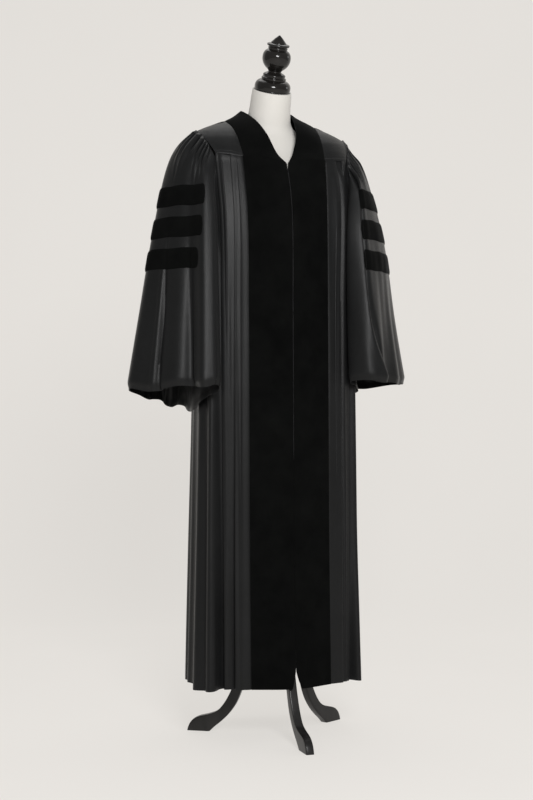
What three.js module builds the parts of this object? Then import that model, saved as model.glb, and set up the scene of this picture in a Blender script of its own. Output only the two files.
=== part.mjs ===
// A doctoral graduation gown worn by a limbless dress form on a three-legged stand.
// Millimetres, +Z up, the floor at z = 0. The gown faces -Y, and the wearer's left is +X.
// Every piece of cloth is a thin wall: a grid of points on its surface, and the same grid moved inwards.
import * as THREE from "three";

// Cloth thicknesses and the clearances between pieces.
const CLOTH = 1.6;
const VELVET = 2.4;
const SEAM_GAP = 0.4;
const LAY_GAP = 0.35;

// Heights of the gown's own lines above the floor.
const HEM_Z = 127;
const SIDE_HEM_DROP = 5;
const YOKE_SEAM_Z = 1373;
const YOKE_SEAM_RISE = 7;
const V_POINT_Z = 1359;
const UNDERARM_Z = 1205;
const ZIP_HEAD_Z = 1346;
const ZIP_FOOT_Z = 660;

// The plan of the hanging gown at seven heights, for the wearer's left half. centreFront and centreBack lie at
// x = 0, so they give y alone. velvet is the facing's outer edge, and pleatTwo and pleatOne the folded edges.
const BODY_PLAN = [
  { z: 1370, centreFront: -88, velvet: [105, -76], pleatTwo: [134, -71], pleatOne: [167, -58],
    sideFront: [174, -44], side: [186, 6], sideBack: [174, 61], backQuarter: [112, 98], centreBack: 116 },
  { z: 1300, centreFront: -114, velvet: [103, -90], pleatTwo: [134, -86], pleatOne: [165, -71],
    sideFront: [180, -45], side: [189, 3], sideBack: [178, 64], backQuarter: [115, 106], centreBack: 125 },
  { z: 1240, centreFront: -126, velvet: [101, -98], pleatTwo: [133, -94], pleatOne: [163, -80],
    sideFront: [183, -49], side: [191, 2], sideBack: [180, 66], backQuarter: [117, 112], centreBack: 130 },
  { z: 1000, centreFront: -131, velvet: [100, -104], pleatTwo: [133, -99], pleatOne: [161, -84],
    sideFront: [184, -57], side: [189, 5], sideBack: [177, 68], backQuarter: [120, 122], centreBack: 142 },
  { z: 750, centreFront: -134, velvet: [100, -107], pleatTwo: [133, -103], pleatOne: [160, -87],
    sideFront: [186, -62], side: [190, 8], sideBack: [177, 72], backQuarter: [122, 128], centreBack: 147 },
  { z: 450, centreFront: -138, velvet: [100, -112], pleatTwo: [134, -108], pleatOne: [158, -92],
    sideFront: [188, -66], side: [192, 10], sideBack: [180, 79], backQuarter: [126, 136], centreBack: 154 },
  { z: 127, centreFront: -151, velvet: [100, -122], pleatTwo: [134, -115], pleatOne: [156, -98],
    sideFront: [194, -82], side: [196, 12], sideBack: [183, 86], backQuarter: [132, 148], centreBack: 165 },
];
// A place round the half plan is a number: 0 is the centre front, 8 the centre back, and the landmarks lie between.
const LANDMARKS = ["velvet", "pleatTwo", "pleatOne", "sideFront", "side", "sideBack", "backQuarter"];
const VELVET_EDGE = 1;
const PLEAT_TWO = 2;
const PLEAT_ONE = 3;
const SIDE_SEAM = 5;
const BACK_ARMHOLE = 6;
const CENTRE_BACK = 8;

// Soft folds that hang down a panel. from and to are its places at its top and at the hem, rise and flare its height
// there, width its reach in places, and startZ where it begins.
const FOLDS_RIGHT_FRONT = [
  { startZ: 1180, from: 3.62, to: 3.8, rise: 4, flare: 19, width: 0.26 },
  { startZ: 1000, from: 4.6, to: 4.34, rise: 0, flare: 24, width: 0.24 },
  { startZ: 1000, from: 4.2, to: 4.07, rise: 0, flare: -7, width: 0.16 },
];
const FOLDS_LEFT_FRONT = [
  { startZ: 1180, from: 3.6, to: 3.62, rise: 4, flare: 11, width: 0.24 },
  { startZ: 950, from: 4.5, to: 4.35, rise: 0, flare: 9, width: 0.24 },
  { startZ: 900, from: 4.1, to: 4.0, rise: 0, flare: -5, width: 0.18 },
];
const FOLDS_RIGHT_BACK = [
  { startZ: 1000, from: 5.35, to: 5.45, rise: 0, flare: 9, width: 0.2 },
  { startZ: 1260, from: 6.0, to: 5.95, rise: 2, flare: 11, width: 0.17 },
  { startZ: 1370, from: 6.42, to: 6.4, rise: 5, flare: 15, width: 0.15 },
  { startZ: 1370, from: 6.85, to: 6.8, rise: 5, flare: 17, width: 0.14 },
  { startZ: 1370, from: 7.24, to: 7.2, rise: 5, flare: 16, width: 0.13 },
  { startZ: 1370, from: 7.6, to: 7.57, rise: 5, flare: 18, width: 0.12 },
];
const FOLDS_LEFT_BACK = [
  { startZ: 950, from: 5.4, to: 5.42, rise: 0, flare: 11, width: 0.2 },
  { startZ: 1260, from: 6.02, to: 5.92, rise: 2, flare: 14, width: 0.18 },
  { startZ: 1370, from: 6.42, to: 6.36, rise: 5, flare: 13, width: 0.14 },
  { startZ: 1370, from: 6.85, to: 6.78, rise: 5, flare: 18, width: 0.15 },
  { startZ: 1370, from: 7.24, to: 7.18, rise: 5, flare: 14, width: 0.12 },
  { startZ: 1370, from: 7.6, to: 7.56, rise: 5, flare: 17, width: 0.13 },
];
const FOLD_CENTRE_BACK = { startZ: 1370, from: 8, to: 8, rise: 5, flare: 16, width: 0.12 };

// Knife pleats: the depth of a pleat's three layers, and how far its fold runs back under it.
const PLEAT_DEPTH = { top: 6.8, hem: 14 };
const PLEAT_UNDERLAP = { top: 13, hem: 9 };
const FACE_WIDTH = 32;

// The velvet facing above the V, from its point round to the centre back of the neck. crown is how far the cloth
// stands out between its two edges. The yoke's own armhole edge is beside the first five.
const NECK_STATIONS = [
  { inner: [1.5, -94, V_POINT_Z], outer: [105, -76, YOKE_SEAM_Z], crown: 9 },
  { inner: [20, -77, 1385], outer: [107, -62, 1397], crown: 7 },
  { inner: [37, -58, 1431], outer: [109, -44, 1424], crown: 5 },
  { inner: [48, -21, 1467], outer: [112, -16, 1450], crown: 3 },
  { inner: [57.5, 21, 1492], outer: [115, 25, 1471], crown: 1.5 },
  { inner: [64.5, 47, 1504], outer: [106, 60, 1465], crown: 1 },
  { inner: [50, 70, 1505], outer: [80, 86, 1452], crown: 1 },
  { inner: [26.5, 82, 1503.5], outer: [42, 99, 1444], crown: 1 },
  { inner: [0.3, 86, 1502.5], outer: [0.3, 104, 1440], crown: 1 },
];
const SHOULDER_STATION = 4;
const YOKE_ARMHOLE = [
  { edge: [167, -58, YOKE_SEAM_Z + YOKE_SEAM_RISE], crown: 4 },
  { edge: [174, -42, 1399], crown: 5 },
  { edge: [181, -22, 1419], crown: 5 },
  { edge: [186.5, 0, 1434], crown: 4 },
  { edge: [189, 18, 1442], crown: 2 },
];
// The back yoke, from the shoulder tip to the centre back: its top edge and its seam with the back panel.
const BACK_YOKE = [
  { top: [189, 20.6, 1441.6], seam: [174, 61] },
  { top: [152, 24.6, 1458], seam: [155, 75] },
  { top: [116.8, 28.2, 1470.4], seam: [134, 88] },
  { top: [108.4, 62, 1461.5], seam: [112, 98] },
  { top: [81.6, 88, 1449.6], seam: [80, 107] },
  { top: [42.6, 101.4, 1441.5], seam: [42, 113.5] },
  { top: [0, 106.4, 1437.5], seam: [0, 116] },
];

// The sleeve as sixteen columns round it, each from the armhole to the mouth. cap is the swell below the
// gathers, arm the level just under the armhole, and elbow the level half way down.
const SLEEVE = [
  { armhole: [191.8, 18, 1443.5], cap: [258, 8, 1368], arm: [299, 6], elbow: [330, 5], mouth: [359, 5, 826] },
  { armhole: [189.5, 4, 1438.5], cap: [249, -22, 1362], arm: [283, -28], elbow: [304, -35], mouth: [327, -42, 820] },
  { armhole: [185.5, -14, 1428], cap: [234, -44, 1355], arm: [261, -56], elbow: [273, -66], mouth: [287, -76, 830] },
  { armhole: [180.5, -30, 1412], cap: [216, -60, 1345], arm: [234, -78], elbow: [241, -92], mouth: [247, -106, 832] },
  { armhole: [175.5, -44, 1394], cap: [203, -82, 1330], arm: [216, -110], elbow: [222, -130], mouth: [229, -149, 830] },
  { armhole: [169.8, -62, 1366], cap: [187, -90, 1308], arm: [193, -117], elbow: [196, -140], mouth: [200, -160, 835] },
  { armhole: [172.8, -64, 1325], cap: [177, -85, 1284], arm: [177, -104], elbow: [178, -121], mouth: [180, -137, 830] },
  { armhole: [180, -55, 1275], cap: [182, -68, 1240], arm: [184, -81], elbow: [186, -93], mouth: [187, -103, 812] },
  { armhole: [190.5, -28, 1226], cap: [194, -35, 1208], arm: [198, -41], elbow: [201, -45], mouth: [204, -45, 785] },
  { armhole: [194.5, 3, 1206], cap: [197, 3, 1196], arm: [199, 4], elbow: [202, 10], mouth: [206, 15, 778] },
  { armhole: [192.8, 25, 1226], cap: [196, 34, 1210], arm: [199, 45], elbow: [202, 62], mouth: [206, 75, 781] },
  { armhole: [187.5, 46, 1275], cap: [195, 62, 1245], arm: [203, 80], elbow: [207, 100], mouth: [213, 118, 788] },
  { armhole: [182.5, 57, 1325], cap: [205, 78, 1295], arm: [220, 95], elbow: [228, 114], mouth: [238, 136, 792] },
  { armhole: [178.5, 62, 1365], cap: [219, 69, 1330], arm: [242, 80], elbow: [255, 95], mouth: [270, 110, 800] },
  { armhole: [184, 47, 1400], cap: [236, 51, 1350], arm: [268, 60], elbow: [288, 74], mouth: [308, 84, 808] },
  { armhole: [189.5, 32, 1428], cap: [252, 31, 1361], arm: [291, 35], elbow: [321, 42], mouth: [348, 47, 818] },
];
const ARM_Z = 1190;
const ELBOW_Z = 1000;
const RIGHT = -1;
const LEFT = 1;
// The wearer's left sleeve hangs forwards, over the edge of the front, and its cap is flatter. These are the
// columns that differ.
const LEFT_COLUMNS = {
  0: { cap: [245, 8, 1354] },
  1: { cap: [237, -22, 1349] },
  2: { cap: [224, -43, 1346] },
  3: { cap: [211, -62, 1338], arm: [238, -81], elbow: [249, -96], mouth: [250, -110, 832] },
  4: { cap: [199, -78, 1328], arm: [212, -101], elbow: [219, -122], mouth: [229, -147, 830] },
  5: { arm: [184, -121], elbow: [185, -138], mouth: [190, -150, 836] },
  6: { cap: [165, -80, 1284], arm: [153, -97], elbow: [152, -103], mouth: [153, -112, 832] },
  7: { cap: [178, -66, 1240], arm: [174.5, -81.5], elbow: [174, -91], mouth: [172, -98, 815] },
  8: { arm: [194, -41], elbow: [196, -46], mouth: [199, -48, 785] },
  14: { cap: [230, 51, 1342] },
  15: { cap: [241, 31, 1349] },
};
const SLEEVES = { [RIGHT]: SLEEVE, [LEFT]: SLEEVE.map((column, i) => ({ ...column, ...LEFT_COLUMNS[i] })) };
// The wearer's left sleeve hangs turned forwards by this many columns.
const SLEEVE_TURN = { [RIGHT]: 0, [LEFT]: 1.2 };
// Gathers at the sleeve head: how many, how deep, and how far down they run.
const GATHERS = { count: 9, depth: 4.2, length: 120, from: -4.3, to: 3.7 };
// Long valleys of the sleeves: the place at the armhole and at the mouth, how late the valley moves over, how
// wide and deep it is, and the share of the way down where it begins.
const SLEEVE_VALLEYS = {
  [RIGHT]: [{ from: 2.9, to: 3.05, late: 1, reach: 0.4, depth: 10, begins: 0.4 }],
  [LEFT]: [{ from: 5, to: 3.05, late: 5, reach: 0.45, depth: 12, begins: 0.1 }],
};
// The wearer's left sleeve ends higher and more level than the right one.
const LEFT_MOUTH = { level: 846, from: 835, share: 0.5 };

// Velvet bars round the outer half of each sleeve. Their ends are counted from where the sleeve is turned to.
const BAR_HEIGHT = 48;
const BAR_CENTRES_Z = { [RIGHT]: [1277, 1203, 1129], [LEFT]: [1285, 1210.5, 1136] };
const BAR_FROM = -3.4;
const BAR_TO = 3.95;

// The dress form: rings from the base of the torso to the cap of the neck.
const TORSO = [
  { z: 780, y: 4, halfX: 158, halfY: 104, square: 2.3, lean: 0 },
  { z: 860, y: 4, halfX: 166, halfY: 108, square: 2.3, lean: 0 },
  { z: 960, y: 3, halfX: 158, halfY: 104, square: 2.2, lean: 0 },
  { z: 1060, y: 2, halfX: 138, halfY: 94, square: 2.2, lean: 0 },
  { z: 1140, y: 3, halfX: 142, halfY: 98, square: 2.2, lean: 0 },
  { z: 1230, y: 6, halfX: 155, halfY: 106, square: 2.3, lean: 0 },
  { z: 1300, y: 12, halfX: 160, halfY: 97, square: 2.3, lean: 0 },
  { z: 1360, y: 20, halfX: 157, halfY: 81, square: 2.3, lean: 0 },
  { z: 1405, y: 27, halfX: 147, halfY: 68, square: 2.2, lean: 2 },
  { z: 1433, y: 32, halfX: 118, halfY: 60, square: 2.1, lean: 4 },
  { z: 1452, y: 33, halfX: 80, halfY: 54, square: 2, lean: 8 },
  { z: 1472, y: 30, halfX: 57, halfY: 50, square: 2, lean: 12 },
  { z: 1501.5, y: 22, halfX: 50.5, halfY: 49, square: 2, lean: 16 },
  { z: 1533, y: 12, halfX: 48.5, halfY: 48, square: 2, lean: 20 },
  { z: 1550, y: 6, halfX: 47, halfY: 47, square: 2, lean: 22.5 },
];
const NECK_LEAN = 22.5;

// The turned finial, as radius and height above its own base.
const FINIAL = [
  [41, 0], [43.5, 3], [43.8, 9], [43, 14.5], [40, 20], [35, 24], [29.5, 26], [30, 29], [29.6, 31.5], [26.8, 33.5],
  [27.2, 36], [26.8, 39], [20, 43.2], [16, 47], [19, 51], [25, 56], [30.6, 63.5], [33.8, 72], [34.4, 80], [33, 88],
  [29, 94.5], [22.5, 99], [23.6, 102], [22.6, 105], [27, 108], [26.4, 111.5], [19.2, 113.8], [16.9, 117],
];
const FINIAL_TOP = 132.8;

// The stand: a pole into a hub, and three curved legs, each cut from a board.
const STAND_Y = -38;
const STAND_TURN = -2.8;
const POLE_RADIUS = 14;
const HUB = { radius: 27, foot: 196, top: 300 };
const LEG_BOARD = 20;
const LEG_UPPER_EDGE = [
  [28, 292], [57, 262], [79, 212], [94, 160], [107, 122], [122, 88], [137, 64], [152, 49], [172, 41], [194, 35.5],
  [208, 29], [217, 20], [225, 0],
];
const LEG_LOWER_EDGE = [
  [169, 0], [156, 12], [139, 26], [122, 43], [106, 65], [94, 90], [83, 122], [68, 158], [52, 188], [28, 204],
];

const degrees = THREE.MathUtils.degToRad;
const clamp = THREE.MathUtils.clamp;
const mix = THREE.MathUtils.lerp;
const smooth = THREE.MathUtils.smoothstep;
const vector = (p) => new THREE.Vector3(p[0], p[1], p[2]);

// Numbers from a to b in equal steps.
function spread(a, b, count) {
  return Array.from({ length: count }, (_, i) => mix(a, b, i / (count - 1)));
}

// The value at x of a smooth line through a rising or falling table of [x, value].
function through(points, x) {
  const rising = points[0][0] < points[points.length - 1][0];
  let i = 0;
  while (i < points.length - 2 && (rising ? x > points[i + 1][0] : x < points[i + 1][0])) i += 1;
  const [x0, v0] = points[i];
  const [x1, v1] = points[i + 1];
  const slope = (a, b) => (b[1] - a[1]) / (b[0] - a[0]);
  const here = slope(points[i], points[i + 1]);
  const before = i > 0 ? (slope(points[i - 1], points[i]) + here) / 2 : here;
  const after = i < points.length - 2 ? (here + slope(points[i + 1], points[i + 2])) / 2 : here;
  const span = x1 - x0;
  const s = clamp((x - x0) / span, 0, 1);
  return (
    v0 * (2 * s ** 3 - 3 * s ** 2 + 1) +
    v1 * (3 * s ** 2 - 2 * s ** 3) +
    before * span * (s ** 3 - 2 * s ** 2 + s) +
    after * span * (s ** 3 - s ** 2)
  );
}

// A closed solid from a skin of faces, turned to face outwards.
function solid(points, faces) {
  const a = new THREE.Vector3();
  const b = new THREE.Vector3();
  const c = new THREE.Vector3();
  let volume = 0;
  for (const [i, j, k] of faces) {
    volume += a.copy(points[i]).dot(b.copy(points[j]).cross(c.copy(points[k])));
  }
  const turned = volume < 0 ? faces.map(([i, j, k]) => [i, k, j]) : faces;
  const geometry = new THREE.BufferGeometry();
  geometry.setAttribute("position", new THREE.Float32BufferAttribute(points.flatMap((p) => [p.x, p.y, p.z]), 3));
  geometry.setIndex(turned.flat());
  geometry.computeVertexNormals();
  return geometry;
}

// The normals of a grid of points, on the side away from the point that inside gives for each row.
function gridNormals(grid, closed, inside) {
  const rows = grid.length;
  const columns = grid[0].length;
  const step = (from, to) => to.clone().sub(from).normalize();
  const around = (row, i) => {
    const before = closed ? row[(i + columns - 1) % columns] : row[Math.max(i - 1, 0)];
    const after = closed ? row[(i + 1) % columns] : row[Math.min(i + 1, columns - 1)];
    const sum = new THREE.Vector3();
    if (before !== row[i]) sum.add(step(before, row[i]));
    if (after !== row[i]) sum.add(step(row[i], after));
    return sum;
  };
  const normals = grid.map((row, j) =>
    row.map((p, i) => {
      const above = grid[Math.max(j - 1, 0)][i];
      const below = grid[Math.min(j + 1, rows - 1)][i];
      return around(row, i).cross(step(above, below)).normalize();
    }),
  );
  let outwards = 0;
  grid.forEach((row, j) => row.forEach((p, i) => {
    outwards += p.clone().sub(inside(p, j)).dot(normals[j][i]);
  }));
  if (outwards < 0) normals.forEach((row) => row.forEach((n) => n.negate()));
  return normals;
}

const moved = (grid, normals, distance) =>
  grid.map((row, j) => row.map((p, i) => p.clone().addScaledVector(normals[j][i], distance(i, j))));

// Cuts the inner skin level with the outer one along the given rows.
function cutLevel(outer, inner, rows) {
  rows.forEach((j) => inner[j].forEach((p, i) => {
    p.z = outer[j][i].z;
  }));
  return inner;
}

// A wall between two grids of the same size, closed along its edges.
function wall(outer, inner, closed = false) {
  const rows = outer.length;
  const columns = outer[0].length;
  const points = [...outer.flat(), ...inner.flat()];
  const half = rows * columns;
  const at = (skin, j, i) => skin * half + j * columns + (i % columns);
  const faces = [];
  const quad = (a, b, c, d) => faces.push([a, b, c], [a, c, d]);
  const last = closed ? columns : columns - 1;
  for (let i = 0; i < last; i += 1) {
    for (let j = 0; j < rows - 1; j += 1) {
      quad(at(0, j, i), at(0, j, i + 1), at(0, j + 1, i + 1), at(0, j + 1, i));
      quad(at(1, j, i), at(1, j + 1, i), at(1, j + 1, i + 1), at(1, j, i + 1));
    }
    quad(at(0, 0, i + 1), at(0, 0, i), at(1, 0, i), at(1, 0, i + 1));
    quad(at(0, rows - 1, i), at(0, rows - 1, i + 1), at(1, rows - 1, i + 1), at(1, rows - 1, i));
  }
  if (!closed) {
    for (let j = 0; j < rows - 1; j += 1) {
      quad(at(0, j, 0), at(0, j + 1, 0), at(1, j + 1, 0), at(1, j, 0));
      quad(at(0, j + 1, columns - 1), at(0, j, columns - 1), at(1, j, columns - 1), at(1, j + 1, columns - 1));
    }
  }
  return solid(points, faces);
}

// A solid through rings of points, with flat ends.
function loft(rings) {
  const count = rings[0].length;
  const points = rings.flat();
  const faces = [];
  for (let j = 0; j < rings.length - 1; j += 1) {
    for (let i = 0; i < count; i += 1) {
      const a = j * count + i;
      const b = j * count + ((i + 1) % count);
      faces.push([a, b, b + count], [a, b + count, a + count]);
    }
  }
  const flat = (ring) => THREE.ShapeUtils.triangulateShape(ring.map((p) => new THREE.Vector2(p.x, p.y)), []);
  const top = (rings.length - 1) * count;
  flat(rings[0]).forEach(([i, j, k]) => faces.push([i, k, j]));
  flat(rings[rings.length - 1]).forEach(([i, j, k]) => faces.push([top + i, top + j, top + k]));
  return solid(points, faces);
}

// The plan's landmarks at a height, from the centre front to the centre back.
function landmarksAt(z) {
  const value = (pick) => through(BODY_PLAN.map((row) => [row.z, pick(row)]), clamp(z, HEM_Z, YOKE_SEAM_Z));
  return [
    [0, value((row) => row.centreFront)],
    ...LANDMARKS.map((name) => [value((row) => row[name][0]), value((row) => row[name][1])]),
    [0, value((row) => row.centreBack)],
  ];
}

// The point of the plan at a place, on a Catmull-Rom line through the landmarks. Past the centre it mirrors.
function planPoint(marks, place) {
  const last = marks.length - 1;
  const mark = (i) => {
    if (i < 0) return [-marks[-i][0], marks[-i][1]];
    if (i > last) return [-marks[2 * last - i][0], marks[2 * last - i][1]];
    return marks[i];
  };
  const i = Math.floor(clamp(place, 0, last - 1e-9));
  const s = place - i;
  const [a, b, c, d] = [mark(i - 1), mark(i), mark(i + 1), mark(i + 2)];
  const blend = (k) =>
    0.5 *
    (2 * b[k] + (c[k] - a[k]) * s + (2 * a[k] - 5 * b[k] + 4 * c[k] - d[k]) * s ** 2 +
      (3 * b[k] - a[k] - 3 * c[k] + d[k]) * s ** 3);
  return [blend(0), blend(1)];
}

// A point beside the plan: along runs towards the back, and out away from the body.
function besidePlan(marks, place, along, out) {
  const step = 0.02;
  const before = planPoint(marks, Math.max(place - step, 0));
  const after = planPoint(marks, Math.min(place + step, CENTRE_BACK));
  const length = Math.hypot(after[0] - before[0], after[1] - before[1]);
  const tangent = [(after[0] - before[0]) / length, (after[1] - before[1]) / length];
  const [x, y] = planPoint(marks, place);
  return [x + tangent[0] * along + tangent[1] * out, y + tangent[1] * along - tangent[0] * out];
}

// How far down a fold a height is: 0 where the fold starts, 1 at the hem.
const descent = (startZ, z) => clamp((startZ - z) / (startZ - HEM_Z), 0, 1);

function foldHeight(folds, place, z) {
  return folds.reduce((sum, fold) => {
    const down = descent(fold.startZ, z);
    const centre = mix(fold.from, fold.to, down);
    const grown = mix(fold.rise, fold.flare, down ** 0.85) * (z > fold.startZ ? 0 : 1);
    return sum + grown * Math.exp(-(((place - centre) / fold.width) ** 2));
  }, 0);
}

const hemAt = (place) => HEM_Z - SIDE_HEM_DROP * smooth(place, PLEAT_ONE, SIDE_SEAM);

// The top edge of the panels: the yoke's seam, and the armhole's curve down to the underarm.
function panelTop(place) {
  if (place >= BACK_ARMHOLE) return YOKE_SEAM_Z;
  const risen = YOKE_SEAM_Z + YOKE_SEAM_RISE * clamp((place - VELVET_EDGE) / (PLEAT_ONE - VELVET_EDGE), 0, 1);
  if (place <= PLEAT_ONE) return risen;
  const front = place < SIDE_SEAM;
  const corner = front ? risen : YOKE_SEAM_Z;
  const rest = front
    ? (place - PLEAT_ONE) / (SIDE_SEAM - PLEAT_ONE)
    : (BACK_ARMHOLE - place) / (BACK_ARMHOLE - SIDE_SEAM);
  return corner - (corner - UNDERARM_Z) * Math.sin((rest * Math.PI) / 2) ** 0.8;
}

// The rows of every hanging panel, as heights where the panel starts at the yoke.
const PANEL_ROWS = [YOKE_SEAM_Z, 1335, 1290, 1235, 1150, 1000, 820, 620, 420, 270, 168, HEM_Z];

// The columns of a front panel: where each lies, how far it is moved along, how deep it is under the edge line,
// and, where it is folded back, the place whose seam height it takes.
function frontColumns() {
  const plain = (place) => ({ place, along: () => 0, depth: () => 0 });
  const face = (place, from, to) => ({
    place,
    along: () => 0,
    depth: (deep) => deep * (1 - smooth(place, from, to)),
  });
  const underneath = (PLEAT_UNDERLAP.top + PLEAT_DEPTH.top) / FACE_WIDTH;
  const turn = (place) => [
    { place, along: () => 0, depth: () => 0 },
    { place, along: (deep) => deep / 4, depth: (deep) => deep / 4 },
    { place, along: () => 0, depth: (deep) => deep / 2 },
    { place, seat: place - underneath, along: (deep, under) => -under, depth: (deep) => deep / 2 },
    { place, seat: place - underneath, along: (deep, under) => -under - deep / 4, depth: (deep) => deep * 0.75 },
    { place, seat: place - underneath, along: (deep, under) => -under, depth: (deep) => deep },
    { place, along: () => 0, depth: (deep) => deep },
  ];
  return [
    ...[VELVET_EDGE, 1.35, 1.7].map(plain),
    ...turn(PLEAT_TWO),
    ...[2.3, 2.65].map((place) => face(place, PLEAT_TWO, PLEAT_ONE)),
    ...turn(PLEAT_ONE),
    ...spread(3.17, SIDE_SEAM, 14).map((place) => face(place, PLEAT_ONE, 3.7)),
  ];
}

function panelGrid(columns, folds, side) {
  return PANEL_ROWS.map((level) =>
    columns.map((column) => {
      const share = (level - HEM_Z) / (YOKE_SEAM_Z - HEM_Z);
      const z = mix(hemAt(column.place), panelTop(column.seat ?? column.place), share);
      const down = descent(YOKE_SEAM_Z, z);
      const deep = mix(PLEAT_DEPTH.top, PLEAT_DEPTH.hem, down ** 2);
      const under = mix(PLEAT_UNDERLAP.top, PLEAT_UNDERLAP.hem, down);
      const out = foldHeight(folds, column.place, z) - column.depth(deep);
      const [x, y] = besidePlan(landmarksAt(z), column.place, column.along(deep, under), out);
      return new THREE.Vector3(side * x, y, z);
    }),
  );
}

const bodyAxis = (p) => new THREE.Vector3(0, 0, p.z);

function frontPanel(side) {
  const columns = frontColumns();
  const folds = side === RIGHT ? FOLDS_RIGHT_FRONT : FOLDS_LEFT_FRONT;
  const grid = panelGrid(columns, folds, side);
  const normals = gridNormals(grid, false, bodyAxis);
  // The first column stands off the velvet's seam.
  grid.forEach((row) => {
    row[0].lerp(row[1], SEAM_GAP / row[0].distanceTo(row[1]));
  });
  return wall(grid, cutLevel(grid, moved(grid, normals, () => -CLOTH), [0, PANEL_ROWS.length - 1]));
}

function backPanel() {
  const places = spread(SIDE_SEAM + 0.012, CENTRE_BACK, 31);
  const columns = places.map((place) => ({ place, along: () => 0, depth: () => 0 }));
  const rightGrid = panelGrid(columns, [...FOLDS_RIGHT_BACK, FOLD_CENTRE_BACK], RIGHT);
  const leftGrid = panelGrid(columns, [...FOLDS_LEFT_BACK, FOLD_CENTRE_BACK], LEFT);
  const grid = rightGrid.map((row, j) => [...row, ...leftGrid[j].slice(0, -1).reverse()]);
  const under = moved(grid, gridNormals(grid, false, bodyAxis), () => -CLOTH);
  return wall(grid, cutLevel(grid, under, [0, PANEL_ROWS.length - 1]));
}

// Rows of the facing above the V, two to each station, as inner edge, outer edge and crown.
function neckRows(count) {
  const inner = new THREE.CatmullRomCurve3(NECK_STATIONS.map((s) => vector(s.inner)), false, "catmullrom", 0.5);
  const outer = new THREE.CatmullRomCurve3(NECK_STATIONS.map((s) => vector(s.outer)), false, "catmullrom", 0.5);
  const last = NECK_STATIONS.length - 1;
  return spread(0, 1, count).map((s) => {
    const place = s * last;
    const i = Math.min(Math.floor(place), last - 1);
    const crown = mix(NECK_STATIONS[i].crown, NECK_STATIONS[i + 1].crown, place - i);
    return { inner: inner.getPoint(s), outer: outer.getPoint(s), crown };
  });
}
const NECK_ROW_COUNT = 17;

// A strip between two edges, crowned between them.
function crownedGrid(rows, shares, inside) {
  const flat = rows.map((row) => shares.map((s) => row.inner.clone().lerp(row.outer, s)));
  const normals = gridNormals(flat, false, inside);
  return moved(flat, normals, (i, j) => rows[j].crown * 4 * shares[i] * (1 - shares[i]));
}

const FACING_SHARES = [0, 0.17, 0.38, 0.6, 0.8, 1];
const neckAxis = (p) => new THREE.Vector3(0, 22, p.z - 60);
// The two fronts part at the foot: how far each edge stands from the centre line at the hem.
const SLIT = { top: 172, [RIGHT]: 9, [LEFT]: 11 };
const FRONT_EDGE_X = 1.5;

function facing(side) {
  const neck = crownedGrid(neckRows(NECK_ROW_COUNT), FACING_SHARES, neckAxis).reverse();
  const hanging = PANEL_ROWS.slice(1).map((level) => {
    const marks = landmarksAt(level);
    const edge = level < SLIT.top ? mix(FRONT_EDGE_X, SLIT[side], descent(SLIT.top, level)) : FRONT_EDGE_X;
    const first = edge / marks[VELVET_EDGE][0];
    return FACING_SHARES.map((s) => {
      const [x, y] = planPoint(marks, mix(first, VELVET_EDGE, s));
      return new THREE.Vector3(x, y, level);
    });
  });
  const grid = [...neck, ...hanging].map((row) => row.map((p) => new THREE.Vector3(side * p.x, p.y, p.z)));
  const normals = gridNormals(grid, false, (p) => (p.z > V_POINT_Z ? neckAxis(p) : bodyAxis(p)));
  return wall(moved(grid, normals, () => 0.4), moved(grid, normals, () => 0.4 - VELVET));
}

function frontYoke(side) {
  const count = (NECK_ROW_COUNT - 1) / 2 + 1;
  const armhole = new THREE.CatmullRomCurve3(YOKE_ARMHOLE.map((s) => vector(s.edge)), false, "catmullrom", 0.5);
  const beside = neckRows(NECK_ROW_COUNT).slice(0, count);
  const rows = beside.map((row, j) => {
    const s = j / (count - 1);
    const inner = row.outer.clone();
    const outer = armhole.getPoint(s);
    inner.lerp(outer, SEAM_GAP / inner.distanceTo(outer));
    const place = s * SHOULDER_STATION;
    const i = Math.min(Math.floor(place), SHOULDER_STATION - 1);
    return { inner, outer, crown: mix(YOKE_ARMHOLE[i].crown, YOKE_ARMHOLE[i + 1].crown, place - i) };
  });
  const shares = spread(0, 1, 7);
  const grid = crownedGrid(rows, shares, neckAxis);
  // The lowest row follows the top of the front panel.
  grid[0].forEach((p, i) => {
    const place = mix(VELVET_EDGE, PLEAT_ONE, shares[i]);
    const [x, y] = planPoint(landmarksAt(YOKE_SEAM_Z), place);
    p.set(i === 0 ? p.x : x, i === 0 ? p.y : y, panelTop(place) + SEAM_GAP);
  });
  grid.forEach((row) => row.forEach((p) => {
    p.x *= side;
  }));
  const under = moved(grid, gridNormals(grid, false, neckAxis), () => -CLOTH);
  return wall(grid, cutLevel(grid, under, [0]));
}

function backYoke() {
  const edge = (points) => new THREE.CatmullRomCurve3(points, false, "catmullrom", 0.5);
  const half = BACK_YOKE.map((row) => ({ top: vector(row.top), seam: vector([...row.seam, YOKE_SEAM_Z + SEAM_GAP]) }));
  const mirror = (p) => new THREE.Vector3(-p.x, p.y, p.z);
  const whole = [
    ...half.map((row) => ({ top: mirror(row.top), seam: mirror(row.seam) })),
    ...half.slice(0, -1).reverse(),
  ];
  const tops = edge(whole.map((row) => row.top));
  const seams = edge(whole.map((row) => row.seam));
  const columns = spread(0, 1, 25);
  const blade = 5;
  const grid = spread(0, 1, 5).map((s) => columns.map((u) => tops.getPoint(u).lerp(seams.getPoint(u), s)));
  const normals = gridNormals(grid, false, neckAxis);
  const crowned = moved(grid, normals, (i, j) => blade * Math.sin((j / 4) * Math.PI) * Math.sin(columns[i] * Math.PI));
  const under = moved(crowned, gridNormals(crowned, false, neckAxis), () => -CLOTH);
  return wall(crowned, cutLevel(crowned, under, [crowned.length - 1]));
}

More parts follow.
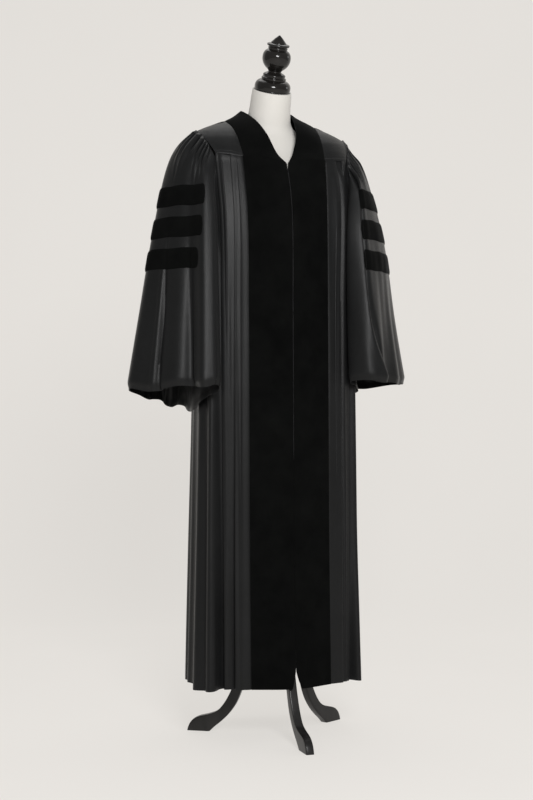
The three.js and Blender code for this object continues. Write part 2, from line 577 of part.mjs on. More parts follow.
// The column of a sleeve at a place round it: 0 is the outermost, positive places run forwards.
function sleeveColumn(side, place, mouthZ) {
  const columns = SLEEVES[side];
  const count = columns.length;
  const i = Math.floor(place);
  const s = place - i;
  const row = (k) => columns[(((i + k) % count) + count) % count];
  const whole = (key, z) => (k) => [row(k)[key][0], row(k)[key][1], z ?? row(k)[key][2]];
  const blend = (pick) => {
    const [a, b, c, d] = [pick(-1), pick(0), pick(1), pick(2)];
    return vector(a.map((_, n) =>
      0.5 * (2 * b[n] + (c[n] - a[n]) * s + (2 * a[n] - 5 * b[n] + 4 * c[n] - d[n]) * s ** 2 +
        (3 * b[n] - a[n] - 3 * c[n] + d[n]) * s ** 3)));
  };
  const points = [blend(whole("armhole")), blend(whole("cap")), blend(whole("arm", ARM_Z)),
    blend(whole("elbow", ELBOW_Z)), blend(whole("mouth"))];
  points[4].z = mouthZ(points[4].z);
  return new THREE.CatmullRomCurve3(points, false, "catmullrom", 0.5);
}

// The point of a sleeve column at a height, found by halving.
function atHeight(curve, z) {
  let low = 0;
  let high = 1;
  for (let n = 0; n < 30; n += 1) {
    const middle = (low + high) / 2;
    if (curve.getPoint(middle).z > z) low = middle;
    else high = middle;
  }
  return curve.getPoint(low);
}

const barEdges = (side) => BAR_CENTRES_Z[side].flatMap((z) => [z + BAR_HEIGHT / 2, z - BAR_HEIGHT / 2]);
// Shares of the way from the armhole to the mouth for the inner side, where the bars don't reach.
const SLEEVE_SHARES = [0, 0.04, 0.1, 0.16, 0.23, 0.3, 0.36, 0.43, 0.5, 0.57, 0.7, 0.84, 0.95, 1];
const FIRST_BAR_ROW = 3;

function sleeveGrid(side) {
  const mouthZ = (z) => (side === LEFT ? LEFT_MOUTH.level - (LEFT_MOUTH.from - z) * LEFT_MOUTH.share : z);
  const turned = SLEEVE_TURN[side];
  const edges = barEdges(side);
  const places = [...spread(-4.4, 4.6, 34), ...spread(5.2, 11, 9)].map((place) => place + turned);
  const isOuter = (place) => place >= BAR_FROM + turned - 0.6 && place <= BAR_TO + turned + 0.6;
  const columns = places.map((place) => {
    const curve = sleeveColumn(side, place, mouthZ);
    const top = curve.getPoint(0);
    const foot = curve.getPoint(1);
    const even = SLEEVE_SHARES.map((s) => mix(top.z, foot.z, s));
    const levelled = even.map((z, j) => {
      if (j >= FIRST_BAR_ROW && j < FIRST_BAR_ROW + edges.length) return edges[j - FIRST_BAR_ROW];
      if (j < FIRST_BAR_ROW) return mix(top.z, edges[0], [0, 0.3, 0.68][j]);
      const after = FIRST_BAR_ROW + edges.length - 1;
      return mix(edges[edges.length - 1], foot.z, (j - after) / (SLEEVE_SHARES.length - 1 - after));
    });
    const heights = isOuter(place) ? levelled : even;
    return heights.map((z, j) => (j === 0 ? top : j === heights.length - 1 ? foot : atHeight(curve, z)));
  });
  const grid = SLEEVE_SHARES.map((_, j) => columns.map((column) => column[j].clone()));
  grid.forEach((row) => row.forEach((p) => {
    p.x *= side;
  }));
  const axis = (p) => new THREE.Vector3(side * mix(250, 225, clamp((p.z - 800) / 400, 0, 1)), -5, p.z - 30);
  const normals = gridNormals(grid, true, axis);
  const valley = (i, j) => SLEEVE_VALLEYS[side].reduce((sum, { from, to, late, reach, depth, begins }) => {
    const share = SLEEVE_SHARES[j];
    const away = (places[i] - mix(from, to, share ** late)) / reach;
    return sum - depth * smooth(share, begins, begins + 0.4) * Math.exp(-(away ** 2));
  }, 0);
  const gathered = moved(grid, normals, (i, j) => {
    const place = places[i] - turned;
    if (place > GATHERS.to || place < GATHERS.from || j === 0) return valley(i, j);
    const below = grid[0][i].distanceTo(grid[j][i]);
    const fade = smooth(below, 0, 22) * (1 - smooth(below, 35, GATHERS.length));
    const turn = ((place - GATHERS.from) / (GATHERS.to - GATHERS.from)) * GATHERS.count * 2 * Math.PI;
    return valley(i, j) + GATHERS.depth * fade * (0.4 - Math.cos(turn));
  });
  return { grid: gathered, places: places.map((place) => place - turned), axis };
}

function sleeve(side) {
  const { grid, axis } = sleeveGrid(side);
  return wall(grid, moved(grid, gridNormals(grid, true, axis), () => -CLOTH), true);
}

// A velvet bar lies on the sleeve's own points, moved out.
function sleeveBar(side, number) {
  const { grid, places, axis } = sleeveGrid(side);
  const normals = gridNormals(grid, true, axis);
  const first = places.findIndex((place) => place >= BAR_FROM);
  const last = places.findLastIndex((place) => place <= BAR_TO);
  const row = FIRST_BAR_ROW + 2 * number;
  const cut = (rows) => rows.slice(row, row + 2).map((points) => points.slice(first, last + 1));
  const under = cut(moved(grid, normals, () => LAY_GAP));
  const over = cut(moved(grid, normals, () => LAY_GAP + VELVET));
  return wall(over, under);
}

// The zip lies behind the two fronts, with its coil standing in the gap between them.
function zip() {
  const tape = { half: 13, back: 3.9, front: 2.9 };
  const coil = { half: 0.9, front: 0.9 };
  const levels = [ZIP_HEAD_Z, ...PANEL_ROWS.slice(1).filter((z) => z > ZIP_FOOT_Z), ZIP_FOOT_Z];
  const section = [
    [-tape.half, tape.front], [-coil.half, tape.front], [-coil.half, coil.front], [coil.half, coil.front],
    [coil.half, tape.front], [tape.half, tape.front], [tape.half, tape.back], [-tape.half, tape.back],
  ];
  return loft(levels.map((z) => {
    const marks = landmarksAt(z);
    return section.map(([x, depth]) => {
      const y = planPoint(marks, Math.abs(x) / marks[VELVET_EDGE][0])[1];
      return new THREE.Vector3(x, y + depth, z);
    });
  }));
}

function torso() {
  const segments = 32;
  return loft(TORSO.map((ring) => {
    const slope = Math.tan(degrees(ring.lean));
    return spread(0, 2 * Math.PI, segments + 1).slice(0, segments).map((angle) => {
      const c = Math.cos(angle);
      const s = Math.sin(angle);
      const power = 2 / ring.square;
      const x = ring.halfX * Math.sign(c) * Math.abs(c) ** power;
      const y = ring.halfY * Math.sign(s) * Math.abs(s) ** power;
      return new THREE.Vector3(x, ring.y + y, ring.z + y * slope);
    });
  }));
}

function finial() {
  const profile = [[0, 0], ...FINIAL, [0, FINIAL_TOP]].map(([r, z]) => new THREE.Vector2(r, z));
  return new THREE.LatheGeometry(profile, 20).rotateX(degrees(90));
}

function pole() {
  const length = TORSO[0].z - HUB.top - 2 * SEAM_GAP;
  return new THREE.CylinderGeometry(POLE_RADIUS, POLE_RADIUS, length, 24)
    .rotateX(degrees(90))
    .translate(0, 0, HUB.top + SEAM_GAP + length / 2);
}

function hub() {
  const height = HUB.top - HUB.foot;
  return new THREE.CylinderGeometry(HUB.radius, HUB.radius - 4, height, 24)
    .rotateX(degrees(90))
    .translate(0, 0, HUB.foot + height / 2);
}

// One leg, in the plane of x and z, running out along +x from the hub.
function leg() {
  const curve = (points) => new THREE.SplineCurve(points.map(([r, z]) => new THREE.Vector2(r, z)));
  const upper = curve(LEG_UPPER_EDGE).getPoints(20);
  const lower = curve(LEG_LOWER_EDGE).getPoints(16);
  return new THREE.ExtrudeGeometry(new THREE.Shape([...upper, ...lower]), {
    depth: LEG_BOARD,
    bevelEnabled: false,
    steps: 1,
  })
    .rotateX(degrees(90))
    .translate(0, LEG_BOARD / 2, 0);
}

const finish = (color, roughness) => new THREE.MeshStandardMaterial({ color, roughness, metalness: 0 });
const gownCloth = finish(0x17181a, 0.75);
const velvetPile = finish(0x060607, 0.95);
const zipNylon = finish(0x26272a, 0.5);
const formCanvas = finish(0xe3dfd6, 0.85);
const lacquer = finish(0x0c0b0b, 0.2);
const stainedWood = finish(0x1a191a, 0.45);

const part = new THREE.Group();
function place(name, geometry, material, parent = part) {
  const mesh = new THREE.Mesh(geometry, material);
  mesh.name = name;
  parent.add(mesh);
  return mesh;
}

for (const [side, word] of [[RIGHT, "right"], [LEFT, "left"]]) {
  place(`velvet_front_${word}`, facing(side), velvetPile);
  place(`front_panel_${word}`, frontPanel(side), gownCloth);
  place(`yoke_front_${word}`, frontYoke(side), gownCloth);
  place(`sleeve_${word}`, sleeve(side), gownCloth);
  BAR_CENTRES_Z[side].forEach((_, number) => {
    place(`sleeve_bar_${word}_${number + 1}`, sleeveBar(side, number), velvetPile);
  });
}
place("yoke_back", backYoke(), gownCloth);
place("back_panel", backPanel(), gownCloth);
place("zip", zip(), zipNylon);
place("form_torso", torso(), formCanvas);

// The finial stands on the cap of the neck and leans with it.
const cap = TORSO[TORSO.length - 1];
const finialMesh = place("finial", finial(), lacquer);
finialMesh.rotation.x = degrees(NECK_LEAN);
finialMesh.position.set(0, cap.y - SEAM_GAP * Math.sin(degrees(NECK_LEAN)), cap.z + SEAM_GAP);

const stand = new THREE.Group();
stand.position.y = STAND_Y;
stand.rotation.z = degrees(STAND_TURN - 90);
part.add(stand);
place("stand_pole", pole(), stainedWood, stand);
place("stand_hub", hub(), stainedWood, stand);
for (const [turn, word] of [[0, "front"], [120, "left"], [240, "right"]]) {
  place(`stand_leg_${word}`, leg(), stainedWood, stand).rotation.z = degrees(turn);
}

// The part's origin is on the floor, under the middle of its whole box.
part.updateMatrixWorld(true);
const box = new THREE.Box3().setFromObject(part, true);
part.position.set(-(box.min.x + box.max.x) / 2, -(box.min.y + box.max.y) / 2, -box.min.z);

export default part;
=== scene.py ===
# %% [markdown]
# # A doctoral gown on its dress form
# The CAD model gives the frame: every piece of the gown, the form and the stand at its real size and place.
# This script dresses that frame. Each sheet of cloth is worked out again on a much finer grid, with the soft
# folds, gathers and turned edges that a needleworker would see, and then given a procedural finish.

# %% Load the frame
import math

import bpy
import numpy as np
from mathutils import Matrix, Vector


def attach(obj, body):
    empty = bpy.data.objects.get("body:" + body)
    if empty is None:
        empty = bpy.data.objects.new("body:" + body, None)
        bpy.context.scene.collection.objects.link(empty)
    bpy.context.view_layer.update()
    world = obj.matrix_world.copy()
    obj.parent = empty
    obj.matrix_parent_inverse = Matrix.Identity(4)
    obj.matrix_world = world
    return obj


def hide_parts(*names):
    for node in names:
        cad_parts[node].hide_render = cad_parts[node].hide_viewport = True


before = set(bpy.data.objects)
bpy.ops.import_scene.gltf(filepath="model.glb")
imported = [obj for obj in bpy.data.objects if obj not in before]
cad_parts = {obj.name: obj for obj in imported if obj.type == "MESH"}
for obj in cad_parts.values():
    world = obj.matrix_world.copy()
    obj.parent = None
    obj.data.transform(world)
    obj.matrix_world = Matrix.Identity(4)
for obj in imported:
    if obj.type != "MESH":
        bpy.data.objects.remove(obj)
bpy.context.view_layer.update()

# %% [markdown]
# ## Camera
# A long lens at a little under half the object's height keeps the hem and the shoulders straight. The gown
# is turned 21 degrees, so the camera stands off to the wearer's right and looks along a level line.

# %% Camera
# The gown's own upright axis stands this far behind the row's origin, in metres.
AXIS_Y = 0.041107
TURN = math.radians(21)
LENS_DISTANCE = 3.585
SIDE_STEP = -0.0156
CAMERA_HEIGHT = 0.8

lens = bpy.data.cameras.new("camera")
lens.lens = 66.6
lens.sensor_width = 36
lens.clip_end = 60
camera = bpy.data.objects.new("camera", lens)
bpy.context.scene.collection.objects.link(camera)
camera.location = (
    SIDE_STEP * math.cos(TURN) - LENS_DISTANCE * math.sin(TURN),
    -SIDE_STEP * math.sin(TURN) - LENS_DISTANCE * math.cos(TURN) + AXIS_Y,
    CAMERA_HEIGHT,
)
camera.rotation_euler = (math.pi / 2, 0, -TURN)
bpy.context.scene.camera = camera
print("camera", [round(v, 3) for v in camera.location])

# %% [markdown]
# ## Mesh helpers
# All the pieces are grids. A grid can be made in Blender by moving the vertices of a plane one by one, but
# numpy does the whole sheet in one go, and `foreach_set` hands the arrays to the mesh without a loop.

# %% Mesh helper
MM_PER_M = 1000


def new_object(name, points, faces, uvs=None, sharp=50):
    """A mesh from arrays: points (n, 3) in millimetres in the gown's own frame, a list of face arrays (m,
    3) or (m, 4) of point numbers, and a uv for each of their corners. Folds above `sharp` degrees stay
    crisp."""
    mesh = bpy.data.meshes.new(name)
    sizes = np.concatenate([np.full(len(f), f.shape[1]) for f in faces])
    mesh.vertices.add(len(points))
    mesh.loops.add(int(sizes.sum()))
    mesh.polygons.add(len(sizes))
    placed = np.asarray(points, dtype=np.float64) / MM_PER_M + (0, AXIS_Y, 0)
    mesh.vertices.foreach_set("co", placed.astype(np.float32).ravel())
    mesh.loops.foreach_set("vertex_index", np.concatenate([f.ravel() for f in faces]).astype(np.int32))
    mesh.polygons.foreach_set("loop_start", (np.cumsum(sizes) - sizes).astype(np.int32))
    mesh.polygons.foreach_set("use_smooth", np.ones(len(sizes), dtype=bool))
    if uvs is not None:
        layer = mesh.uv_layers.new(name="cloth")
        layer.data.foreach_set("uv", np.concatenate([u.ravel() for u in uvs]).astype(np.float32))
    mesh.update(calc_edges=True)
    mesh.validate()
    mesh.set_sharp_from_angle(angle=math.radians(sharp))
    obj = bpy.data.objects.new(name, mesh)
    bpy.context.scene.collection.objects.link(obj)
    return obj


# %% Grid normals
def unit(vectors):
    """Each vector divided by its own length."""
    return vectors / np.maximum(np.linalg.norm(vectors, axis=-1, keepdims=True), 1e-9)


def grid_normals(grid, closed=False):
    """The cross product of the two grid directions at every point: across the columns, then down the
    rows."""
    if closed:
        across = np.roll(grid, -1, axis=1) - np.roll(grid, 1, axis=1)
    else:
        across = np.gradient(grid, axis=1)
    down = np.gradient(grid, axis=0)
    return unit(np.cross(across, down))


def outward(grid, axis_points, closed=False):
    """The grid's normals, turned round if on the whole they point towards `axis_points`."""
    normals = grid_normals(grid, closed)
    return -normals if (normals * (grid - axis_points)).sum() < 0 else normals


# %% Wall of cloth
def cloth_wall(name, outer, inner, closed=False, outwards=None, sharp=50):
    """A closed wall between an outer and an inner grid of points (rows, columns, 3). The uv map holds the
    flat cut in metres: the mean distance across the columns, and the mean distance down the rows."""
    rows, columns = outer.shape[:2]
    wrapped = np.concatenate([outer, outer[:, :1]], axis=1) if closed else outer
    across = np.linalg.norm(np.diff(wrapped, axis=1), axis=2).mean(axis=0)
    down = np.linalg.norm(np.diff(outer, axis=0), axis=2).mean(axis=1)
    u = np.concatenate([[0], np.cumsum(across)]) / MM_PER_M
    v = np.concatenate([[0], np.cumsum(down)]) / MM_PER_M
    last = columns if closed else columns - 1
    j, i = np.meshgrid(np.arange(rows - 1), np.arange(last), indexing="ij")
    j, i = j.ravel(), i.ravel()
    edge = np.arange(last)
    side = np.arange(rows - 1)
    zero, far = np.zeros_like(edge), np.full_like(edge, rows - 1)
    quads = [
        [(0, j, i), (0, j, i + 1), (0, j + 1, i + 1), (0, j + 1, i)],
        [(1, j, i + 1), (1, j, i), (1, j + 1, i), (1, j + 1, i + 1)],
        [(0, zero, edge + 1), (0, zero, edge), (1, zero, edge), (1, zero, edge + 1)],
        [(0, far, edge), (0, far, edge + 1), (1, far, edge + 1), (1, far, edge)],
    ]
    if not closed:
        left, right = np.zeros_like(side), np.full_like(side, columns - 1)
        quads += [
            [(0, side, left), (0, side + 1, left), (1, side + 1, left), (1, side, left)],
            [(0, side + 1, right), (0, side, right), (1, side, right), (1, side + 1, right)],
        ]
    number = lambda skin, row, col: skin * rows * columns + row * columns + col % columns
    faces = np.concatenate([np.stack([number(*corner) for corner in quad], axis=1) for quad in quads])
    uvs = np.concatenate([
        np.stack([np.stack([u[column], v[row]], axis=-1) for _, row, column in quad], axis=1)
        for quad in quads
    ])
    normals = grid_normals(outer, closed)
    reference = outer - inner if outwards is None else outwards
    if (normals * reference).sum() < 0:
        faces, uvs = faces[:, ::-1], uvs[:, ::-1]
    points = np.concatenate([outer.reshape(-1, 3), inner.reshape(-1, 3)])
    return new_object(name, points, [faces], [uvs], sharp)


def thick(grid, axis_points, thickness, closed=False):
    """The inner grid of a wall: every point moved in along its normal, away from the side the axis lies
    on."""
    return grid - outward(grid, axis_points, closed) * thickness


# %% [markdown]
# ## Smooth lines through a few sizes
# A dressmaker measures a gown at a few heights and trusts the cloth to run smoothly between them. The same
# is done here: tables of sizes at a few heights, and curves that pass through every one of them.

# %% Curves
def through(levels, values, z):
    """A cubic Hermite line through values (n, ...) at levels (n,), read at the array z. The slope at each
    level is the mean of the slopes on its two sides."""
    order = np.argsort(levels)
    x = np.asarray(levels, dtype=float)[order]
    y = np.asarray(values, dtype=float)[order]
    z = np.clip(np.asarray(z, dtype=float), x[0], x[-1])
    k = np.clip(np.searchsorted(x, z, side="right") - 1, 0, len(x) - 2)
    extra = (1,) * (y.ndim - 1)
    span = np.diff(x).reshape((-1,) + extra)
    slope = np.diff(y, axis=0) / span
    ends = np.concatenate([slope[:1], (slope[1:] + slope[:-1]) / 2, slope[-1:]])
    s = ((z - x[k]) / np.diff(x)[k]).reshape(z.shape + extra)
    width = np.diff(x)[k].reshape(z.shape + extra)
    return (
        y[k] * (2 * s**3 - 3 * s**2 + 1) + y[k + 1] * (3 * s**2 - 2 * s**3)
        + ends[k] * width * (s**3 - 2 * s**2 + s) + ends[k + 1] * width * (s**3 - s**2)
    )


def catmull(before, here, after, beyond, s):
    """The Catmull-Rom blend from `here` to `after`, s from 0 to 1."""
    return 0.5 * (
        2 * here + (after - before) * s
        + (2 * before - 5 * here + 4 * after - beyond) * s**2
        + (3 * here - before - 3 * after + beyond) * s**3
    )


def open_curve(points, t):
    """A Catmull-Rom curve through points (..., n, d) along the next-to-last axis, read at t from 0 to 1. The
    ends are carried on in a straight line."""
    points = np.asarray(points, dtype=float)
    first = 2 * points[..., :1, :] - points[..., 1:2, :]
    last = 2 * points[..., -1:, :] - points[..., -2:-1, :]
    padded = np.concatenate([first, points, last], axis=-2)
    count = points.shape[-2]
    t = np.asarray(t, dtype=float) * (count - 1)
    k = np.clip(np.floor(t).astype(int), 0, count - 2)
    s = (t - k)[..., None]
    if points.ndim == 2:
        pick = lambda n: padded[k + n]
    else:
        pick = lambda n: np.take_along_axis(padded, (k + n)[..., None, None], axis=-2)[..., 0, :]
    return catmull(pick(0), pick(1), pick(2), pick(3), s)


def smooth(x, a, b):
    """0 below a, 1 above b, and the smooth step 3t^2 - 2t^3 between."""
    t = np.clip((x - a) / (b - a), 0, 1)
    return t * t * (3 - 2 * t)


def ripple(x, y, seed, waves=7):
    """Soft unevenness from -1 to 1: a sum of sine waves whose directions, lengths and phases come from a
    seed."""
    rng = np.random.default_rng(seed)
    total = 0
    for _ in range(waves):
        kx, ky = rng.normal(size=2)
        total = total + np.sin(kx * x + ky * y + rng.uniform(0, 6.283)) * rng.uniform(0.5, 1)
    return total / (waves * 0.6)


print("through 3 sizes:", through([0, 10, 20], [5, 7, 6], np.array([0, 5, 10, 15, 20])).round(2))

# %% [markdown]
# ## The plan of the hanging gown
# Below the yoke the gown is a tube of five widths of cloth. Its plan is given at seven heights by nine
# landmarks, from the centre front to the centre back. A place from 0 to 8 says how far round a point lies.

# %% Body plan
BODY_LEVELS = [1370, 1300, 1240, 1000, 750, 450, 127]
# Columns: centre front y, then x and y of the velvet's edge, pleat two, pleat one, side front, side,
# side back and back quarter, and the centre back y.
BODY_PLAN = np.array([
    [-88, 105, -76, 134, -71, 167, -58, 174, -44, 186, 6, 174, 61, 112, 98, 116],
    [-114, 103, -90, 134, -86, 165, -71, 180, -45, 189, 3, 178, 64, 115, 106, 125],
    [-126, 101, -98, 133, -94, 163, -80, 183, -49, 191, 2, 180, 66, 117, 112, 130],
    [-131, 100, -104, 133, -99, 161, -84, 184, -57, 189, 5, 177, 68, 120, 122, 142],
    [-134, 100, -107, 133, -103, 160, -87, 186, -62, 190, 8, 177, 72, 122, 128, 147],
    [-138, 100, -112, 134, -108, 158, -92, 188, -66, 192, 10, 180, 79, 126, 136, 154],
    [-151, 100, -122, 134, -115, 156, -98, 194, -82, 196, 12, 183, 86, 132, 148, 165],
], dtype=float)
VELVET_EDGE, PLEAT_TWO, PLEAT_ONE, SIDE_SEAM, BACK_ARMHOLE, CENTRE_BACK = 1, 2, 3, 5, 6, 8
HEM_Z, YOKE_SEAM_Z, YOKE_SEAM_RISE, UNDERARM_Z, V_POINT_Z = 127, 1373, 7, 1205, 1359
RIGHT, LEFT = -1, 1


def landmarks(z):
    """The nine landmarks at every height of the array z, with one more past each centre, mirrored."""
    row = through(BODY_LEVELS, BODY_PLAN, z)
    zero = np.zeros_like(row[..., 0])
    x = np.stack([zero] + [row[..., 1 + 2 * n] for n in range(7)] + [zero], axis=-1)
    y = np.stack([row[..., 0]] + [row[..., 2 + 2 * n] for n in range(7)] + [row[..., 15]], axis=-1)
    x = np.concatenate([-x[..., 1:2], x, -x[..., -2:-1]], axis=-1)
    y = np.concatenate([y[..., 1:2], y, y[..., -2:-1]], axis=-1)
    return np.stack([x, y], axis=-1)


def plan_point(marks, place):
    """The Catmull-Rom line through the landmarks (..., 11, 2), read at place (...)."""
    k = np.clip(np.floor(place).astype(int), 0, 7)
    s = (place - k)[..., None]
    pick = lambda n: np.take_along_axis(marks, (k + n)[..., None, None], axis=-2)[..., 0, :]
    return catmull(pick(0), pick(1), pick(2), pick(3), s)


def beside_plan(z, place, along, out):
    """A point of the plan, moved `along` it towards the back and `out` from the body, in millimetres."""
    z, place, along, out = np.broadcast_arrays(z, place, along, out)
    marks = landmarks(z)
    ahead = plan_point(marks, np.minimum(place + 0.02, 8.0))
    behind = plan_point(marks, np.maximum(place - 0.02, 0.0))
    tangent = unit(ahead - behind)
    normal = np.stack([tangent[..., 1], -tangent[..., 0]], axis=-1)
    xy = plan_point(marks, place) + tangent * along[..., None] + normal * out[..., None]
    return np.concatenate([xy, z[..., None]], axis=-1)


# %% Folds that hang down a panel
# Columns: the height where the fold begins, its place there and at the hem, its height there and at the hem,
# and its reach in places.
FOLDS = {
    (RIGHT, "front"): [
        (1180, 3.62, 3.80, 4, 19, 0.26), (1000, 4.60, 4.34, 0, 24, 0.24), (1000, 4.20, 4.07, 0, -7, 0.16),
    ],
    (LEFT, "front"): [
        (1180, 3.60, 3.62, 4, 11, 0.24), (950, 4.50, 4.35, 0, 9, 0.24), (900, 4.10, 4.00, 0, -5, 0.18),
        (1373, 2.08, 2.22, -3, -5, 0.05), (1373, 2.38, 2.55, 3.5, 7, 0.18),
    ],
    (RIGHT, "back"): [
        (1000, 5.35, 5.45, 0, 9, 0.20), (1260, 6.00, 5.95, 2, 11, 0.17), (1370, 6.42, 6.40, 5, 15, 0.15),
        (1370, 6.85, 6.80, 5, 17, 0.14), (1370, 7.24, 7.20, 5, 16, 0.13), (1370, 7.60, 7.57, 5, 18, 0.12),
        (1370, 8.00, 8.00, 5, 16, 0.12),
    ],
    (LEFT, "back"): [
        (950, 5.40, 5.42, 0, 11, 0.20), (1260, 6.02, 5.92, 2, 14, 0.18), (1370, 6.42, 6.36, 5, 13, 0.14),
        (1370, 6.85, 6.78, 5, 18, 0.15), (1370, 7.24, 7.18, 5, 14, 0.12), (1370, 7.60, 7.56, 5, 17, 0.13),
        (1370, 8.00, 8.00, 5, 16, 0.12),
    ],
}


def fold_height(folds, place, z):
    """The sum of bell curves across the place. Each bell's centre and height run from its start to the
    hem."""
    total = 0
    for start, place_from, place_to, rise, flare, width in folds:
        down = np.clip((start - z) / (start - HEM_Z), 0, 1)
        centre = place_from + (place_to - place_from) * down
        height = (rise + (flare - rise) * down**0.85) * smooth(start + 1 - z, 0, 60 if rise else 1)
        total = total + height * np.exp(-(((place - centre) / width) ** 2))
    return total


def panel_top(place):
    """The seam with the yoke, rising a little to the armhole, and the armhole's curve to the underarm."""
    risen = YOKE_SEAM_Z + YOKE_SEAM_RISE * np.clip((place - VELVET_EDGE) / 2, 0, 1)
    corner = np.where(place < SIDE_SEAM, risen, YOKE_SEAM_Z)
    rest = np.where(place < SIDE_SEAM, (place - PLEAT_ONE) / 2, BACK_ARMHOLE - place)
    rest = np.clip(rest, 0, 1)
    return corner - (corner - UNDERARM_Z) * np.sin(rest * math.pi / 2) ** 0.8


def hem_height(place):
    """The hem dips by 5 mm towards the side seam."""
    return HEM_Z - 5 * smooth(place, PLEAT_ONE, SIDE_SEAM)


print("half width at the hem", plan_point(landmarks(np.array(127.0)), np.array(5.0)).round(1))

# %% [markdown]
# ## The gown's cloth
# Three finishes make the gown: a matt-to-satin black cloth with a fine upright rib, a deep black velvet
# that swallows light, and the zip's nylon. Each could be one flat dark colour, but then every piece would
# look cut from the same sheet of plastic. The weave and the unevenness of the pile are built from nodes,
# once, as groups with named inputs, so that every cloth can use them with its own values.

# %% Node helpers
def node(tree, kind, at=(0, 0), **values):
    """A new node of that kind. Values set its properties, or the default of the input of that name."""
    made = tree.nodes.new(kind)
    made.location = at
    for key, value in values.items():
        if hasattr(made, key) and key not in made.inputs:
            setattr(made, key, value)
        else:
            made.inputs[key].default_value = value
    return made


def maths(tree, operation, a, b=None, c=None):
    """A maths node with its inputs linked or set, and its output."""
    made = tree.nodes.new("ShaderNodeMath")
    made.operation = operation
    for slot, value in enumerate((a, b, c)):
        if value is None:
            continue
        if isinstance(value, (int, float)):
            made.inputs[slot].default_value = value
        else:
            tree.links.new(value, made.inputs[slot])
    return made.outputs[0]


def group(name, inputs, outputs):
    """A shader node group with named sockets: (name, type, default) in, (name, type) out."""
    tree = bpy.data.node_groups.new(name, "ShaderNodeTree")
    for label, kind, default in inputs:
        socket = tree.interface.new_socket(name=label, in_out="INPUT", socket_type=kind)
        if default is not None:
            socket.default_value = default
    for label, kind in outputs:
        tree.interface.new_socket(name=label, in_out="OUTPUT", socket_type=kind)
    return tree, tree.nodes.new("NodeGroupInput"), tree.nodes.new("NodeGroupOutput")


# %% Weave group
def build_weave():
    """Two sets of threads that cross. The warp's height is the size of a cosine across it, the weft's the
    size of a cosine along it, and a checkerboard of the two says which one lies on top. The tone is half
    noise and half that height, so the hollows between the threads carry painted shade."""
    tree, given, out = group(
        "crossed_threads",
        [("Vector", "NodeSocketVector", None), ("Pitch", "NodeSocketFloat", 0.001),
         ("Rib", "NodeSocketFloat", 1.0)],
        [("Height", "NodeSocketFloat"), ("Tone_and_painted_shade", "NodeSocketFloat")],
    )
    split = tree.nodes.new("ShaderNodeSeparateXYZ")
    tree.links.new(given.outputs["Vector"], split.inputs[0])
    across = maths(tree, "DIVIDE", split.outputs["X"], given.outputs["Pitch"])
    tall = maths(tree, "MULTIPLY", given.outputs["Pitch"], given.outputs["Rib"])
    along = maths(tree, "DIVIDE", split.outputs["Y"], tall)
    warp = maths(tree, "ABSOLUTE", maths(tree, "COSINE", maths(tree, "MULTIPLY", across, math.pi)))
    weft = maths(tree, "ABSOLUTE", maths(tree, "COSINE", maths(tree, "MULTIPLY", along, math.pi)))
    cell = maths(tree, "ADD", maths(tree, "FLOOR", across), maths(tree, "FLOOR", along))
    over = maths(tree, "FLOORED_MODULO", cell, 2.0)
    height = maths(tree, "ADD", maths(tree, "MULTIPLY", warp, over),
                   maths(tree, "MULTIPLY", weft, maths(tree, "SUBTRACT", 1.0, over)))
    noise = node(tree, "ShaderNodeTexNoise", Scale=90.0, Detail=2.0)
    tree.links.new(given.outputs["Vector"], noise.inputs["Vector"])
    # Tone: half random noise, half thread height, so crests are lighter and hollows darker as painted shade.
    shade = maths(tree, "MULTIPLY_ADD", noise.outputs["Fac"], 0.5, maths(tree, "MULTIPLY", height, 0.5))
    tree.links.new(height, out.inputs["Height"])
    tree.links.new(shade, out.inputs["Tone_and_painted_shade"])
    return tree


# %% Unevenness group
def build_unevenness():
    """Two scales of noise, mixed: broad cloudiness, and a fine grain within it."""
    tree, given, out = group(
        "uneven_surface",
        [("Vector", "NodeSocketVector", None), ("Broad", "NodeSocketFloat", 6.0),
         ("Fine", "NodeSocketFloat", 120.0)],
        [("Cloud", "NodeSocketFloat"), ("Grain", "NodeSocketFloat")],
    )
    for label, target in (("Broad", "Cloud"), ("Fine", "Grain")):
        noise = node(tree, "ShaderNodeTexNoise", Detail=3.0, Roughness=0.55)
        tree.links.new(given.outputs["Vector"], noise.inputs["Vector"])
        tree.links.new(given.outputs[label], noise.inputs["Scale"])
        tree.links.new(noise.outputs["Fac"], out.inputs[target])
    return tree


WEAVE = build_weave()
UNEVEN = build_unevenness()
print("node groups", WEAVE.name, UNEVEN.name)


# %% Material starter
def start_material(name, **shader):
    """A material with its Principled shader, whose constant values are set on its own sockets, and the
    object's own coordinates."""
    material = bpy.data.materials.new(name)
    material.use_nodes = True
    tree = material.node_tree
    surface = tree.nodes["Principled BSDF"]
    for key, value in shader.items():
        surface.inputs[key.replace("_", " ")].default_value = value
    return material, tree, surface, tree.nodes.new("ShaderNodeTexCoord").outputs["Object"]


def place_group(tree, shared, vector, **values):
    """A copy of a shared group in this material, fed with a vector and its own values."""
    made = tree.nodes.new("ShaderNodeGroup")
    made.node_tree = shared
    tree.links.new(vector, made.inputs["Vector"])
    for key, value in values.items():
        made.inputs[key].default_value = value
    return made


def mixed(tree, first, share, second):
    """`share` of the first value and the rest of the second."""
    return maths(tree, "MULTIPLY_ADD", first, share, maths(tree, "MULTIPLY", second, 1 - share))


def colour(tree, surface, value, dark, light):
    """Base Color from a ramp over the value, between two stops of position and colour."""
    made = tree.nodes.new("ShaderNodeValToRGB")
    for element, (position, shade) in zip(made.color_ramp.elements, (dark, light)):
        element.position, element.color = position, (*shade, 1)
    tree.links.new(value, made.inputs[0])
    tree.links.new(made.outputs["Color"], surface.inputs["Base Color"])


def gloss(tree, surface, value, gain, least):
    """Roughness: the value times `gain`, plus `least`."""
    tree.links.new(maths(tree, "MULTIPLY_ADD", value, gain, least), surface.inputs["Roughness"])


